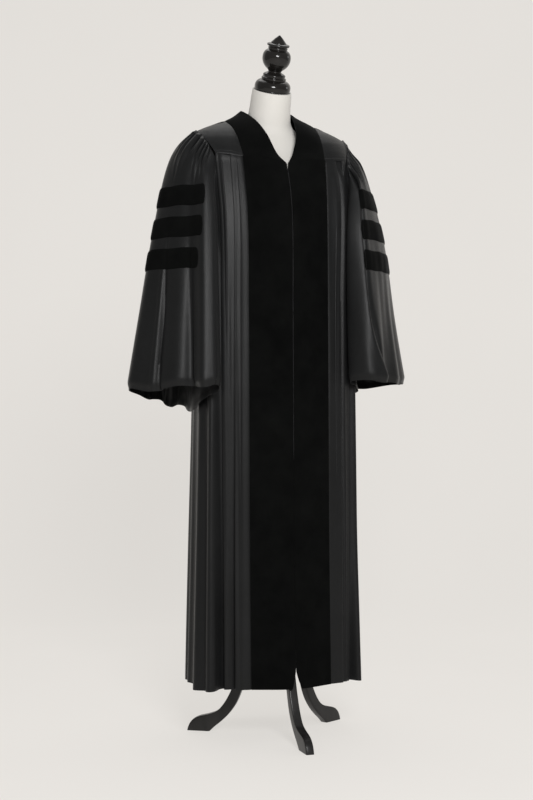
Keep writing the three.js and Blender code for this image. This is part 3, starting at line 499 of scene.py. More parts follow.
def bump(tree, surface, height, strength, distance, under=None):
    """A bump node on the surface's normal, on top of another if one is given."""
    made = node(tree, "ShaderNodeBump", Strength=strength, Distance=distance)
    tree.links.new(height, made.inputs["Height"])
    if under is not None:
        tree.links.new(under, made.inputs["Normal"])
    tree.links.new(made.outputs[0], surface.inputs["Normal"])
    return made.outputs[0]


# %% Gown cloth
def gown_cloth():
    """Black polyester with an upright rib: weave on the flat cut's uv, cloudiness on the object's own
    space."""
    material, tree, surface, space = start_material(
        "gown_cloth", Roughness=0.4, Specular_IOR_Level=0.18, Sheen_Weight=0.03, Sheen_Roughness=0.35,
    )
    cut = node(tree, "ShaderNodeUVMap", uv_map="cloth").outputs["UV"]
    weave = place_group(tree, WEAVE, cut, Pitch=0.0009, Rib=1.6)
    uneven = place_group(tree, UNEVEN, space, Broad=7.0, Fine=220.0)
    # The weave's share of the tone is painted shade between the threads; the cloud is random tone.
    tone = mixed(tree, uneven.outputs["Cloud"], 0.5, weave.outputs["Tone_and_painted_shade"])
    colour(tree, surface, tone, (0.25, (0.0055, 0.0057, 0.0059)), (0.75, (0.0095, 0.0098, 0.0101)))
    gloss(tree, surface, uneven.outputs["Cloud"], 0.12, 0.30)
    soft = bump(tree, surface, uneven.outputs["Cloud"], 0.25, 0.006)
    bump(tree, surface, weave.outputs["Height"], 0.35, 0.0002, soft)
    return material


# %% Velvet
def velvet_pile():
    """Velvet is short upright pile. Its base is nearly black, and the sheen lobe gives the pale edge where
    the pile is seen from the side. Where the pile has been stroked the wrong way it is a little lighter."""
    material, tree, surface, space = start_material(
        "velvet_pile", Roughness=0.95, Specular_IOR_Level=0.04, Sheen_Weight=0.05, Sheen_Roughness=0.3,
    )
    uneven = place_group(tree, UNEVEN, space, Broad=9.0, Fine=900.0)
    stroked = place_group(tree, UNEVEN, space, Broad=28.0, Fine=300.0)
    nap = mixed(tree, uneven.outputs["Cloud"], 0.55, stroked.outputs["Cloud"])
    colour(tree, surface, nap, (0.3, (0.0016, 0.0017, 0.0017)), (0.72, (0.0040, 0.0042, 0.0040)))
    soft = bump(tree, surface, stroked.outputs["Cloud"], 0.3, 0.003)
    bump(tree, surface, uneven.outputs["Grain"], 0.5, 0.0006, soft)
    return material


CLOTH_FINISH = gown_cloth()
VELVET_FINISH = velvet_pile()
print("materials", CLOTH_FINISH.name, VELVET_FINISH.name)


# %% Fitting a piece to the frame
def fit(piece, material, slot, *nodes):
    """Gives a piece its finish and its body, and hides the CAD nodes that it stands for."""
    piece.data.materials.clear()
    piece.data.materials.append(material)
    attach(piece, "root")
    if nodes:
        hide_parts(*nodes)
    return piece


CLOTH = 1.0
SIDES = ((RIGHT, "right"), (LEFT, "left"))


def gown_sheet(name, grid, axis_points, stands_for, closed=False):
    """A sheet of the gown's own cloth on a grid: its wall, its finish and the size of its cut."""
    piece = cloth_wall(name, grid, thick(grid, axis_points, CLOTH, closed), closed)
    fit(piece, CLOTH_FINISH, "gown_cloth", stands_for)

# %% [markdown]
# ## Front panels with their knife pleats
# Beside the velvet each front has two knife pleats. A pleat is one sheet folded into three layers, so it is
# drawn as one line that turns back under its own edge and forwards again. Seen from above each turn is a
# half circle a quarter of the pleat's depth in radius, which keeps the cloth's layers apart all the way
# down.

# %% Pleated columns
# A pleat's depth and the width of its hidden layer, at the yoke and at the hem, and the width of its face.
PLEAT_DEPTH = (3.8, 14.0)
PLEAT_UNDERLAP = (13.0, 9.0)
FACE_WIDTH = 32.0
# At the yoke the pleats of the wearer's left front lie this much further out.
LEFT_PLEATS_OUT = 8.0


def turn_under(place):
    """The columns of one pleat: place, seat, then how many depths and underlaps each lies along, and how
    many depths it lies under the edge."""
    half = np.linspace(0, math.pi, 9)
    zero, one = np.zeros(9), np.ones(9)
    over = np.stack([zero, zero, np.sin(half) / 4, zero, (1 - np.cos(half)) / 4])
    back = np.linspace(0, 1, 5)[1:-1]
    run_back = np.stack([back * 0, back, back * 0, -back, back * 0 + 0.5])
    below = np.stack([zero, one, -np.sin(half) / 4, -one, 0.5 + (1 - np.cos(half)) / 4])
    forward = np.linspace(1, 0, 6)[1:]
    run_forward = np.stack([forward * 0, forward, forward * 0, -forward, forward * 0 + 1])
    columns = np.concatenate([over, run_back, below, run_forward], axis=1)
    hidden = (PLEAT_UNDERLAP[0] + PLEAT_DEPTH[0]) / FACE_WIDTH
    columns[1] = place - columns[1] * hidden
    columns[0] += place
    return columns


def open_face(start, end, count, settles=None):
    """The plain cloth from `start` to `end`. With `settles` it rises from a pleat's depth to the surface
    there."""
    places = np.linspace(start, end, count)
    depth = np.zeros(count) if settles is None else 1 - smooth(places, start, settles)
    return np.stack([places, places, places * 0, places * 0, depth])


def front_columns():
    """Every column of a front panel, from just under the velvet to the side seam."""
    return np.concatenate([
        open_face(0.9, PLEAT_TWO, 18)[:, :-1],
        turn_under(PLEAT_TWO)[:, :-1],
        open_face(PLEAT_TWO, PLEAT_ONE, 14, PLEAT_ONE)[:, :-1],
        turn_under(PLEAT_ONE)[:, :-1],
        open_face(PLEAT_ONE, SIDE_SEAM, 52, 3.7),
    ], axis=1)


# %% Panel surface
# How high the creases stand, how much wider a pleat's edge wanders, and how far the top edge is tucked under
# the yoke and the inner edge under the velvet.
CREASES, FINE_CREASES, PLEAT_WANDER = 1.5, 0.5, 1.3
YOKE_TUCK, VELVET_TUCK = 3.0, 3.2


def panel_rows(count):
    """Shares of the way down a panel, with a short hem of rows above the seam that is tucked under the
    yoke."""
    return np.concatenate([[-0.006, -0.003, -0.001], np.linspace(0, 1, count)])


def panel_surface(side, part, columns, rows, seed):
    """A hanging panel as a grid. Each point starts on the plan at its height, moves along it for a pleat,
    and out of it for the folds. Slow ripples keep any two folds from being the same."""
    place, seat, along_deep, along_under, depth = columns
    s = rows[:, None]
    top, foot = panel_top(seat)[None, :], hem_height(place)[None, :]
    z = top + (foot - top) * s
    down = np.clip((YOKE_SEAM_Z - z) / (YOKE_SEAM_Z - HEM_Z), 0, 1)
    wander = ripple(z / 210 + 9 * side, place[None, :] * 0.8, seed)
    deep = (PLEAT_DEPTH[0] + (PLEAT_DEPTH[1] - PLEAT_DEPTH[0]) * down**2) * (1 + 0.08 * wander)
    under = PLEAT_UNDERLAP[0] + (PLEAT_UNDERLAP[1] - PLEAT_UNDERLAP[0]) * down
    along = along_deep * deep + along_under * under + PLEAT_WANDER * wander * smooth(down, 0.03, 0.3)
    creases = CREASES * ripple(place[None, :] * 5.5, z / 330, seed + 1) * smooth(down, 0.02, 0.4)
    fine = FINE_CREASES * ripple(place[None, :] * 12, z / 120, seed + 2) * smooth(down, 0.0, 0.15)
    out = fold_height(FOLDS[side, part], place[None, :], z) + creases + fine - depth * deep
    out = out - YOKE_TUCK * smooth(-s, 0, 0.003)
    if part == "front":
        out = out - VELVET_TUCK * (1 - smooth(place[None, :], 0.95, 1.06))
    if (side, part) == (LEFT, "front"):
        beside = smooth(place[None, :], 1.2, 2) * (1 - smooth(place[None, :], 3, 4))
        at_top = smooth(down, 0, 0.04) * (1 - 0.9 * smooth(down, 0.03, 0.3))
        along = along + LEFT_PLEATS_OUT * beside * at_top
    grid = beside_plan(z, place[None, :], along, out)
    grid[..., 0] *= side
    return grid


def body_axis(grid):
    """The point of the gown's upright axis beside each point."""
    axis = np.zeros_like(grid)
    axis[..., 2] = grid[..., 2]
    return axis


ROWS = 120
for side, word in SIDES:
    grid = panel_surface(side, "front", front_columns(), panel_rows(ROWS), 11 + side)
    gown_sheet(
        f"front_panel_cloth_{word}", grid, body_axis(grid), f"front_panel_{word}",
    )

# %% [markdown]
# ## Back panel
# The back is one wide width, let into the yoke with soft upright pleats. It is the same kind of sheet as the
# fronts, on the back half of the plan. Just below the yoke the pleats are small and close, as gathered cloth
# is, and they run together into a few deep folds on the way down.

# %% Back panel
# How high the gathers under the yoke stand, and how many quarter turns they make from the centre to a side.
BACK_GATHER, BACK_GATHER_TURNS = 2.2, 44


def back_grid():
    """The two halves of the back, joined at the centre. Small gathers start at the yoke and die out."""
    places = np.linspace(SIDE_SEAM + 0.012, CENTRE_BACK, 96)
    columns = np.stack([places, places, places * 0, places * 0, places * 0])
    halves = []
    for side, seed in ((RIGHT, 31), (LEFT, 47)):
        half = panel_surface(side, "back", columns, panel_rows(ROWS), seed)
        halves.append(half)
    whole = np.concatenate([halves[0], halves[1][:, :-1][:, ::-1]], axis=1)
    normals = outward(whole, body_axis(whole))
    count = whole.shape[1]
    across = np.linspace(-1, 1, count)[None, :]
    fall = YOKE_SEAM_Z - whole[..., 2]
    reach = smooth(fall, 2, 14) * (1 - smooth(fall, 40, 190)) * (1 - smooth(np.abs(across), 0.55, 0.75))
    phase = across * BACK_GATHER_TURNS + 0.7 * ripple(across * 9, fall / 160, 5)
    return whole + normals * (BACK_GATHER * reach * np.cos(phase * math.pi / 2))[..., None]


grid = back_grid()
gown_sheet("back_panel_cloth", grid, body_axis(grid), "back_panel")

# %% [markdown]
# ## Velvet facings
# Each facing is one strip: it runs round the neck from the centre back, turns at the point of the V, and
# falls straight to the hem. Pile makes it the thickest cloth on the gown. Its long edges are turned under,
# so the surface swells a little between them, and it is drawn with a section that rounds off at both edges.

# %% Facing
# The strip's inner and outer edges above the V, from its point to the centre back, and how far it swells.
NECK = np.array([
    [1.5, -94, V_POINT_Z, 105, -76, YOKE_SEAM_Z, 9], [20, -77, 1385, 107, -62, 1397, 7],
    [37, -58, 1431, 109, -44, 1424, 5], [48, -21, 1467, 112, -16, 1450, 3],
    [57.5, 21, 1492, 115, 25, 1471, 1.5], [64.5, 47, 1504, 106, 60, 1465, 1],
    [50, 70, 1505, 80, 86, 1452, 1], [26.5, 82, 1503.5, 42, 99, 1444, 1],
    [0.3, 86, 1502.5, 0.3, 104, 1440, 1],
], dtype=float)
VELVET = 2.2
# Half the gap between the fronts beside the zip and below it, and the walking slit: its top and its half
# widths.
ZIP_GAP, CLOSED_GAP = 1.5, 0.6
SLIT_TOP, SLIT = 172, {RIGHT: 9, LEFT: 15}


def neck_edges(t):
    """The strip's inner and outer edge points and its swell at t, from 0 at the V to 1 at the centre
    back."""
    swell = np.interp(t * 8, np.arange(9), NECK[:, 6])
    return open_curve(NECK[:, :3], t), open_curve(NECK[:, 3:6], t), swell


def neck_axis(grid):
    """A point inside the neck and shoulders, below each point."""
    axis = np.zeros_like(grid)
    axis[..., 1] = 22
    axis[..., 2] = grid[..., 2] - 60
    return axis


def crowned(inner, outer, swell, shares):
    """A strip ruled between two edges and raised by a parabola that is `swell` high at the middle."""
    flat = inner[:, None, :] + (outer - inner)[:, None, :] * shares[None, :, None]
    normals = outward(flat, neck_axis(flat))
    return flat + normals * (swell[:, None] * 4 * shares * (1 - shares))[..., None]


def facing_grid(side):
    """The neck part from the centre back down to the V, then the hanging part down to the hem."""
    shares = np.linspace(0, 1, 25)
    inner, outer, swell = neck_edges(np.linspace(1, 0, 56))
    neck = crowned(inner, outer, swell, shares)
    z = np.linspace(V_POINT_Z - 12, HEM_Z, ROWS)[:, None]
    opening = ZIP_GAP - (ZIP_GAP - CLOSED_GAP) * smooth(700 - z, 0, 60)
    opening = opening + (SLIT[side] - CLOSED_GAP) * np.clip((SLIT_TOP - z) / (SLIT_TOP - HEM_Z), 0, 1) ** 1.4
    edge = opening / landmarks(z)[..., 2, 0]
    hanging = beside_plan(z, edge + (1 - edge) * shares[None, :], np.zeros(1), np.zeros(1))
    # The neck's last row slopes. The first hanging row is level and 12 mm lower, so one row of cells joins
    # them.
    grid = np.concatenate([neck, hanging])
    grid[..., 0] *= side
    return grid, shares


def facing(side, word):
    """The swollen strip with its rounded edges, as a wall."""
    grid, shares = facing_grid(side)
    axis = np.where(grid[..., 2:] > V_POINT_Z, neck_axis(grid), body_axis(grid))
    normals = outward(grid, axis)
    slow = ripple(grid[..., 2] / 160, shares[None, :] * 2.5, 71 + side)
    body = 1 - np.abs(2 * shares - 1) ** 14
    lift = 0.4 + 0.7 * body[None, :] + 0.7 * slow * smooth(1340 - grid[..., 2], 0, 200)
    outer = grid + normals * lift[..., None]
    inner = grid + normals * (lift - VELVET)[..., None]
    piece = cloth_wall(f"velvet_facing_{word}", outer, inner)
    fit(piece, VELVET_FINISH, "velvet", f"velvet_front_{word}")


for side, word in SIDES:
    facing(side, word)

# %% [markdown]
# ## Yokes
# The yokes carry the whole gown on the shoulders. Their lower edges are turned under and laid over the
# pleats, and their outer edges turn down into the armhole seam. Drawing those turned edges, instead of
# stopping a flat sheet at the seam, is what makes a seam read as sewn.

# %% Front yokes
# The line of stitches lies this far above the seam, as a groove this deep and half this wide.
STITCH_UP, STITCH_DEPTH, STITCH_REACH = 10.0, 0.5, 1.2
# How far a yoke stands over its seam, how high the front yoke is, and how far the shoulder blades swell.
YOKE_LIFT, YOKE_HEIGHT, BLADE = 1.4, 115, 5
ARMHOLE_FRONT = np.array([
    [167, -58, YOKE_SEAM_Z + YOKE_SEAM_RISE], [174, -42, 1399], [181, -22, 1419],
    [186.5, 0, 1434], [189, 18, 1442],
], dtype=float)


def turn_in(points, depth):
    """Points moved into the body by `depth`, towards the shoulder's inside."""
    target = np.stack([np.full(len(points), 120.0), np.full(len(points), 8.0), points[:, 2] - 45], axis=-1)
    return points + unit(target - points) * depth


def front_yoke_grid(side):
    """Ruled from the velvet's edge to the armhole and crowned, with a column under the velvet and two
    columns turned in at the armhole."""
    s = np.linspace(0, 1, 80) ** 1.4
    _, inner, _ = neck_edges(s / 2)
    armhole = open_curve(ARMHOLE_FRONT, s)
    crown = np.interp(s * 4, np.arange(5), [4, 5, 5, 4, 2])
    shares = np.linspace(0, 1, 30)
    grid = crowned(inner, armhole, crown, shares)
    foot = beside_plan(panel_top(1 + 2 * shares), 1 + 2 * shares, np.zeros(1), np.zeros(1))
    grid = grid + (foot - grid[0])[None] * (1 - smooth(s, 0, 0.3))[:, None, None]
    normals = outward(grid, neck_axis(grid))
    turned = np.where(s < 0.05, YOKE_LIFT - YOKE_LIFT * (1 - s / 0.05) ** 3, YOKE_LIFT)
    groove = STITCH_DEPTH * np.exp(-(((s * YOKE_HEIGHT - STITCH_UP) / STITCH_REACH) ** 2))
    grid = grid + normals * (turned * (1 - smooth(s, 0.75, 1)) - groove)[:, None, None]
    under = grid[:, :1] + (grid[:, :1] - grid[:, 1:2]) * 2.2 - normals[:, :1] * 3.2
    over = turn_in(grid[:, -1], 1.2)[:, None] + (grid[:, -1:] - grid[:, -2:-1]) * 0.25
    deep = turn_in(grid[:, -1], 5)[:, None]
    grid = np.concatenate([under, grid, over, deep], axis=1)
    grid[..., 0] *= side
    return grid


for side, word in SIDES:
    grid = front_yoke_grid(side)
    gown_sheet(
        f"yoke_cloth_{word}", grid, neck_axis(grid), f"yoke_front_{word}",
    )

# %% Back yoke
BACK_YOKE = np.array([
    [189, 20.6, 1441.6, 174, 61], [152, 24.6, 1458, 155, 75], [116.8, 28.2, 1470.4, 134, 88],
    [108.4, 62, 1461.5, 112, 98], [81.6, 88, 1449.6, 80, 107], [42.6, 101.4, 1441.5, 42, 113.5],
    [0, 106.4, 1437.5, 0, 116],
], dtype=float)


def back_yoke_grid():
    """Ruled from the shoulder seams and the velvet's edge down to the seam with the back, over both
    halves."""
    half_top, half_foot = BACK_YOKE[:, :3], np.insert(BACK_YOKE[:, 3:], 2, YOKE_SEAM_Z, axis=1)
    mirror = lambda points: np.concatenate([points * (-1, 1, 1), points[-2::-1]])
    columns = np.linspace(0, 1, 121)
    top, foot = open_curve(mirror(half_top), columns), open_curve(mirror(half_foot), columns)
    s = (1 - np.linspace(1, 0, 70) ** 1.4)[:, None, None]
    grid = top[None] + (foot - top)[None] * s
    normals = outward(grid, neck_axis(grid))
    blade = BLADE * np.sin(s[..., 0] * math.pi) * np.sin(columns * math.pi)[None, :]
    lift = blade + YOKE_LIFT * smooth(s[..., 0], 0.1, 0.4) * (1 - smooth(s[..., 0], 0.965, 1.0))
    up = np.linalg.norm(grid - grid[-1:], axis=-1)
    lift = lift - STITCH_DEPTH * np.exp(-(((up - STITCH_UP) / STITCH_REACH) ** 2))
    grid = grid + normals * lift[..., None]
    under = grid[:1] + (grid[:1] - grid[1:2]) * 1.3 - normals[:1] * 2.6
    return np.concatenate([under, grid])


grid = back_yoke_grid()
gown_sheet("yoke_cloth_back", grid, neck_axis(grid), "yoke_back")

# %% [markdown]
# ## Sleeves
# A bell sleeve is a long cone of cloth, gathered tightly into the armhole and wide open at the mouth. The
# table below is its plan in sixteen columns, read at five heights. On top of that smooth cone come the
# gathers, which are sharp valleys between round ridges, and the long folds that the weight of the mouth
# pulls.

# %% Sleeve shape
# Columns: the armhole's x, y, z, the cap's x, y, z below the gathers, x, y under the arm, x, y half way
# down, and the mouth's x, y, z. Rows go round the sleeve, from the outermost column forwards.
SLEEVE = np.array([
    [191.8, 18, 1443.5, 258, 8, 1368, 299, 6, 330, 5, 359, 5, 826],
    [189.5, 4, 1438.5, 249, -22, 1362, 283, -28, 304, -35, 327, -42, 820],
    [185.5, -14, 1428, 234, -44, 1355, 261, -56, 273, -66, 287, -76, 830],
    [180.5, -30, 1412, 216, -60, 1345, 234, -78, 241, -92, 247, -106, 832],
    [175.5, -44, 1394, 203, -82, 1330, 216, -110, 222, -130, 229, -149, 830],
    [169.8, -62, 1366, 187, -90, 1308, 193, -117, 196, -140, 200, -160, 835],
    [172.8, -64, 1325, 177, -85, 1284, 177, -104, 178, -121, 180, -137, 830],
    [180, -55, 1275, 182, -68, 1240, 184, -81, 186, -93, 187, -103, 812],
    [190.5, -28, 1226, 194, -35, 1208, 198, -41, 201, -45, 204, -45, 785],
    [194.5, 3, 1206, 197, 3, 1196, 199, 4, 202, 10, 206, 15, 778],
    [192.8, 25, 1226, 196, 34, 1210, 199, 45, 202, 62, 206, 75, 781],
    [187.5, 46, 1275, 195, 62, 1245, 203, 80, 207, 100, 213, 118, 788],
    [182.5, 57, 1325, 205, 78, 1295, 220, 95, 228, 114, 238, 136, 792],
    [178.5, 62, 1365, 219, 69, 1330, 242, 80, 255, 95, 270, 110, 800],
    [184, 47, 1400, 236, 51, 1350, 268, 60, 288, 74, 308, 84, 808],
    [189.5, 32, 1428, 252, 31, 1361, 291, 35, 321, 42, 348, 47, 818],
])
# The wearer's left sleeve hangs forwards, over the edge of the front, and its cap is flatter.
LEFT_CAPS = {0: (245, 8, 1354), 1: (237, -22, 1349), 2: (224, -43, 1346), 3: (211, -62, 1338),
             4: (199, -78, 1328), 6: (165, -80, 1284), 7: (178, -66, 1240), 14: (230, 51, 1342),
             15: (241, 31, 1349)}
LEFT_ARM = {3: (238, -81, 249, -96, 250, -110, 832), 4: (212, -101, 219, -122, 229, -147, 830),
            5: (184, -121, 185, -138, 190, -150, 836), 6: (153, -97, 152, -103, 153, -112, 832),
            7: (174.5, -81.5, 174, -91, 172, -98, 815), 8: (194, -41, 196, -46, 199, -48, 785)}
SLEEVES = {RIGHT: SLEEVE, LEFT: SLEEVE.copy()}
SLEEVES[LEFT][list(LEFT_CAPS), 3:6] = list(LEFT_CAPS.values())
SLEEVES[LEFT][list(LEFT_ARM), 6:] = list(LEFT_ARM.values())
ARM_Z, ELBOW_Z = 1190, 1000
SLEEVES = {side: np.insert(table, [8, 10], [ARM_Z, ELBOW_Z], axis=1) for side, table in SLEEVES.items()}
# Long folds. Columns: place at the top and at the mouth, how late it moves over, reach, height at its
# fullest, and where down the sleeve it starts and is fullest.
SLEEVE_FOLDS = {
    RIGHT: [(1.05, 1.15, 1, 0.16, 3, 0.45, 0.8), (1.2, 1.45, 1, 0.11, -7, 0.42, 0.8),
            (2.2, 2.35, 1, 0.45, 6, 0.35, 1.05), (2.9, 3.05, 1, 0.22, -12, 0.40, 0.95),
            (3.9, 4.0, 1, 0.45, 6, 0.30, 1.05), (5.3, 5.3, 1, 0.30, -3, 0.30, 1.05),
            (-1.4, -1.5, 1, 0.40, -7, 0.30, 1.05), (-2.8, -2.9, 1, 0.45, 6, 0.30, 1.05),
            (-4.2, -4.3, 1, 0.40, -6, 0.30, 1.05), (0.2, 0.1, 1, 0.50, 4, 0.40, 1.05)],
    LEFT: [(5.0, 3.05, 5, 0.30, -11, 0.06, 0.30), (5.0, 3.05, 5, 0.36, -8, 0.50, 1.05),
           (1.9, 1.7, 1, 0.34, 6, 0.45, 0.9), (1.1, 1.0, 1, 0.25, -4, 0.50, 0.95),
           (3.6, 2.5, 2, 0.40, -5, 0.35, 0.9), (-1.2, -1.3, 1, 0.40, 6, 0.30, 1.05),
           (-2.5, -2.4, 1, 0.35, -7, 0.30, 1.05), (-3.9, -3.9, 1, 0.45, 5, 0.30, 1.05)],
}
# The front lobe of the wearer's left sleeve leans over the valley beside it: place, reach and how far.
LOBE_PLACE, LOBE_END, LOBE_REACH, LOBE_LEAN = 5.45, 3.55, 0.34, 9.0
SLEEVE_TURN = {RIGHT: 0, LEFT: 1.2}
# The wearer's left mouth is higher and more level: its columns end at half their own fall below this level.
LEFT_MOUTH_Z, MOUTH_Z, LEFT_MOUTH_FALL = 846, 835, 0.5
# The gathers at the head: the places they run between, their ridges, height and length in millimetres.
GATHERS_FROM, GATHERS_TO, GATHER_RIDGES, GATHER_LENGTH = -4.3, 3.7, 13, 125
GATHER_HEIGHT = {RIGHT: 6.6, LEFT: 5.5}
# Puckers round the mouth, how much more they stand on its inner side, and how far its edge turns in.
HEM_PUCKER, INNER_PUCKER, HEM_TURN = 0.8, 4.5, 5.5


def sleeve_base(side, place, t):
    """The smooth cone: round the sixteen columns by Catmull-Rom, then down through the five heights."""
    place, t = np.broadcast_arrays(place, t)
    k = np.floor(place).astype(int)
    s = (place - k)[..., None]
    rows = catmull(*(SLEEVES[side][(k + n) % 16] for n in (-1, 0, 1, 2)), s)
    heights = rows.reshape(rows.shape[:-1] + (5, 3)).copy()
    if side == LEFT:
        heights[..., 4, 2] = LEFT_MOUTH_Z - (MOUTH_Z - heights[..., 4, 2]) * LEFT_MOUTH_FALL
    return open_curve(heights, t)


def sleeve_height(side, place, t, base, top):
    """How far the cloth stands out from the cone: gathers, long folds, puckers at the mouth and ripples."""
    gone = np.linalg.norm(base - top, axis=-1)
    gathered = (place - SLEEVE_TURN[side] + 8) % 16 - 8
    turns = (gathered - GATHERS_FROM) / (GATHERS_TO - GATHERS_FROM) * GATHER_RIDGES
    turns = turns + 0.30 * np.sin(gathered * 2.3 + side)
    ridge = 1.75 * np.abs(np.sin(turns * math.pi)) ** 0.5 - 1.0
    length = GATHER_LENGTH + 45 * np.sin(gathered * 3.1 + 2 * side)
    size = GATHER_HEIGHT[side] + 1.8 * np.sin(gathered * 1.9 + side)
    inside = smooth(gathered, -4.5, -4.1) * (1 - smooth(gathered, 3.9, 4.3))
    out = size * ridge * inside * smooth(gone, 0, 12) * (1 - smooth(gone, 22, length))
    for start, end, late, reach, height, begins, full in SLEEVE_FOLDS[side]:
        centre = start + (end - start) * t**late
        away = (place - centre + 8) % 16 - 8
        out = out + height * smooth(t, begins, full) * np.exp(-((away / reach) ** 2))
    if side == LEFT:
        out = out - 5 * smooth(gone, 0, 20) * (1 - smooth(gone, 30, 70)) * inside
    round_angle = place / 16 * 2 * math.pi
    cx, cy = np.cos(round_angle), np.sin(round_angle)
    out = out + 1.6 * ripple(cx * 5 + t * 2.5, cy * 5 - t, 90 + side) * smooth(t, 0.1, 0.5)
    inner = smooth(place % 16, 5.6, 6.6) * (1 - smooth(place % 16, 12.5, 14))
    pucker = ripple(place * 3.6, t * 18, 60 + side) * smooth(t, 0.90, 0.985)
    out = out + (HEM_PUCKER + INNER_PUCKER * inner) * pucker
    return out - HEM_TURN * smooth(t, 0.965, 1) ** 2 * (1 - 0.5 * inner)


def sleeve_surface(side, place, t):
    """The cone moved along its own normal, with the mouth's edge rising and falling."""
    place, t = np.broadcast_arrays(np.asarray(place, float), np.asarray(t, float))
    base, top = sleeve_base(side, place, t), sleeve_base(side, place, np.zeros_like(t))
    step = 0.004
    across = sleeve_base(side, place + step, t) - sleeve_base(side, place - step, t)
    low, high = np.clip(t - step, 0, 1), np.clip(t + step, 0, 1)
    down = sleeve_base(side, place, high) - sleeve_base(side, place, low)
    normals = unit(np.cross(across, down))
    points = base + normals * sleeve_height(side, place, t, base, top)[..., None]
    inner = smooth(place % 16, 5.4, 7) * (1 - smooth(place % 16, 12, 14))
    wave = (1.4 + (5.0 if side == RIGHT else 2.0) * inner) * np.sin(place * 2.6 + 0.6)
    points[..., 2] += wave * smooth(t, 0.88, 1)
    if side == LEFT:
        crest = LOBE_PLACE + (LOBE_END - LOBE_PLACE) * t**5
        lean = LOBE_LEAN * smooth(t, 0.06, 0.3) * np.exp(-(((place - crest) / LOBE_REACH) ** 2))
        points[..., 0] += lean
        points[..., 1] -= 0.4 * lean
    points[..., 0] *= side
    return points


def sleeve_axis(side, grid):
    """A point inside the sleeve beside each point."""
    axis = np.zeros_like(grid)
    axis[..., 0] = side * (250 - 25 * np.clip((grid[..., 2] - 800) / 400, 0, 1))
    axis[..., 1] = -5
    axis[..., 2] = grid[..., 2] - 30
    return axis


# %% Sleeves
AROUND = 240
DOWN = 130


def sleeve_grid(side):
    """The whole sleeve, more closely spaced near the gathers and the mouth, with its top turned into the
    seam."""
    place = np.linspace(0, 16, AROUND, endpoint=False)[None, :]
    even = np.linspace(0, 1, DOWN)
    t = (even - 0.09 * np.sin(even * 2 * math.pi) / math.pi)[:, None]
    grid = sleeve_surface(side, place, t)
    seam = grid[0] * (side, 1, 1)
    turned = np.stack([turn_in(seam, 5), turn_in(seam, 1.5)]) * (side, 1, 1)
    return np.concatenate([turned, grid])


for side, word in SIDES:
    grid = sleeve_grid(side)
    gown_sheet(
        f"sleeve_cloth_{word}", grid, sleeve_axis(side, grid), f"sleeve_{word}",
        closed=True,
    )

# %% [markdown]
# ## Velvet bars
# Three bars on each sleeve show the degree. Each is a strip of velvet with its edges turned under, sewn
# flat round the outer half of the sleeve. It is made from the sleeve's own surface, moved out, so it
# follows every fold under it, and its section falls away at the edges like a soft cushion.

# %% Bars
# Half a bar's height, how far its ends are rounded in places, and how it lies on the sleeve: its underside
# and edges, and the swell of its middle.
BAR_HALF, BAR_END = 23.5, 0.26
BAR_UNDER, BAR_LIFT, BAR_SWELL = 0.3, 0.6, 2.2
BAR_CENTRES = {RIGHT: (1277, 1203, 1129), LEFT: (1285, 1210.5, 1136)}
BAR_FROM = {RIGHT: -3.4, LEFT: -2.2}
BAR_TO = {RIGHT: (4.2, 4.0, 3.65), LEFT: (5.4, 5.35, 5.25)}


def sleeve_t_at(side, place, z):
    """Where down the cone each column reaches the height z, by halving the interval thirty times."""
    low, high = np.zeros_like(z), np.ones_like(z)
    for _ in range(30):
        middle = (low + high) / 2
        above = sleeve_base(side, place, middle)[..., 2] > z
        low, high = np.where(above, middle, low), np.where(above, high, middle)
    return low


def bar(side, word, number, centre):
    """A strip between two places, `BAR_HALF` up and down, with rounded ends and soft edges."""
    start, stop = BAR_FROM[side], BAR_TO[side][number - 1]
    place = np.linspace(start, stop, 130)[None, :]
    q = np.sin(np.linspace(-1, 1, 19) * math.pi / 2)[:, None]
    near_end = np.minimum(place - start, stop - place)
    end = np.clip(1 - near_end / BAR_END, 0, 1)
    half = BAR_HALF * np.clip(1 - end**2.4, 0.0, 1) ** (1 / 2.4) + 0.6
    dip = 2.5 * smooth(2 - place, 0, 3) if side == RIGHT else 0
    wobble = 0.8 * np.sin(place * 3 + number * 2) - dip
    t = sleeve_t_at(side, place, centre - q * half + wobble)
    grid = sleeve_surface(side, np.broadcast_to(place, t.shape), t)
    normals = outward(grid, sleeve_axis(side, grid))
    soft = (1 - np.abs(q) ** 7) * np.clip(1 - end**6, 0, 1)
    outer = grid + normals * (BAR_LIFT + BAR_SWELL * soft)[..., None]
    inner = grid + normals * BAR_UNDER
    piece = cloth_wall(f"velvet_bar_{word}_{number}", outer, inner)
    fit(piece, VELVET_FINISH, "velvet", f"sleeve_bar_{word}_{number}")


for side, word in SIDES:
    for number, centre in enumerate(BAR_CENTRES[side], 1):
        bar(side, word, number, centre)

# %% [markdown]
# ## Zip
# The fronts close with a nylon coil zip. Its teeth are one long coil of thread wound along a tape, so it is
# drawn as a helix: a small ring of points is carried round and down the front, a turn every 1.4 mm. Only the
# coil shows between the velvet edges, and the tape behind it keeps light from passing.

# %% Zip
ZIP_HEAD_Z, ZIP_FOOT_Z = 1346, 660
# Half the tapes' width, and how far behind the fronts their two skins lie.
TAPE_HALF, TAPE_FRONT, TAPE_BACK = 13, 3.0, 3.6
# The coil: its pitch, points a turn, half width and depth, how deep it lies, and its thread's radius.
COIL_PITCH, COIL_POINTS, COIL_HALF, COIL_DEPTH, COIL_BEHIND, COIL_THREAD = 1.4, 7, 1.2, 0.8, 1.75, 0.32


def zip_front(x, depth, z):
    """A point of the zip: `x` from the centre and `depth` behind the fronts' surface at the height z."""
    marks = landmarks(z)
    place = np.abs(x) / marks[..., 2, 0]
    points = beside_plan(z, place, np.zeros(1), np.zeros(1))
    return np.stack([x, points[..., 1] + depth, z + x * 0], axis=-1)


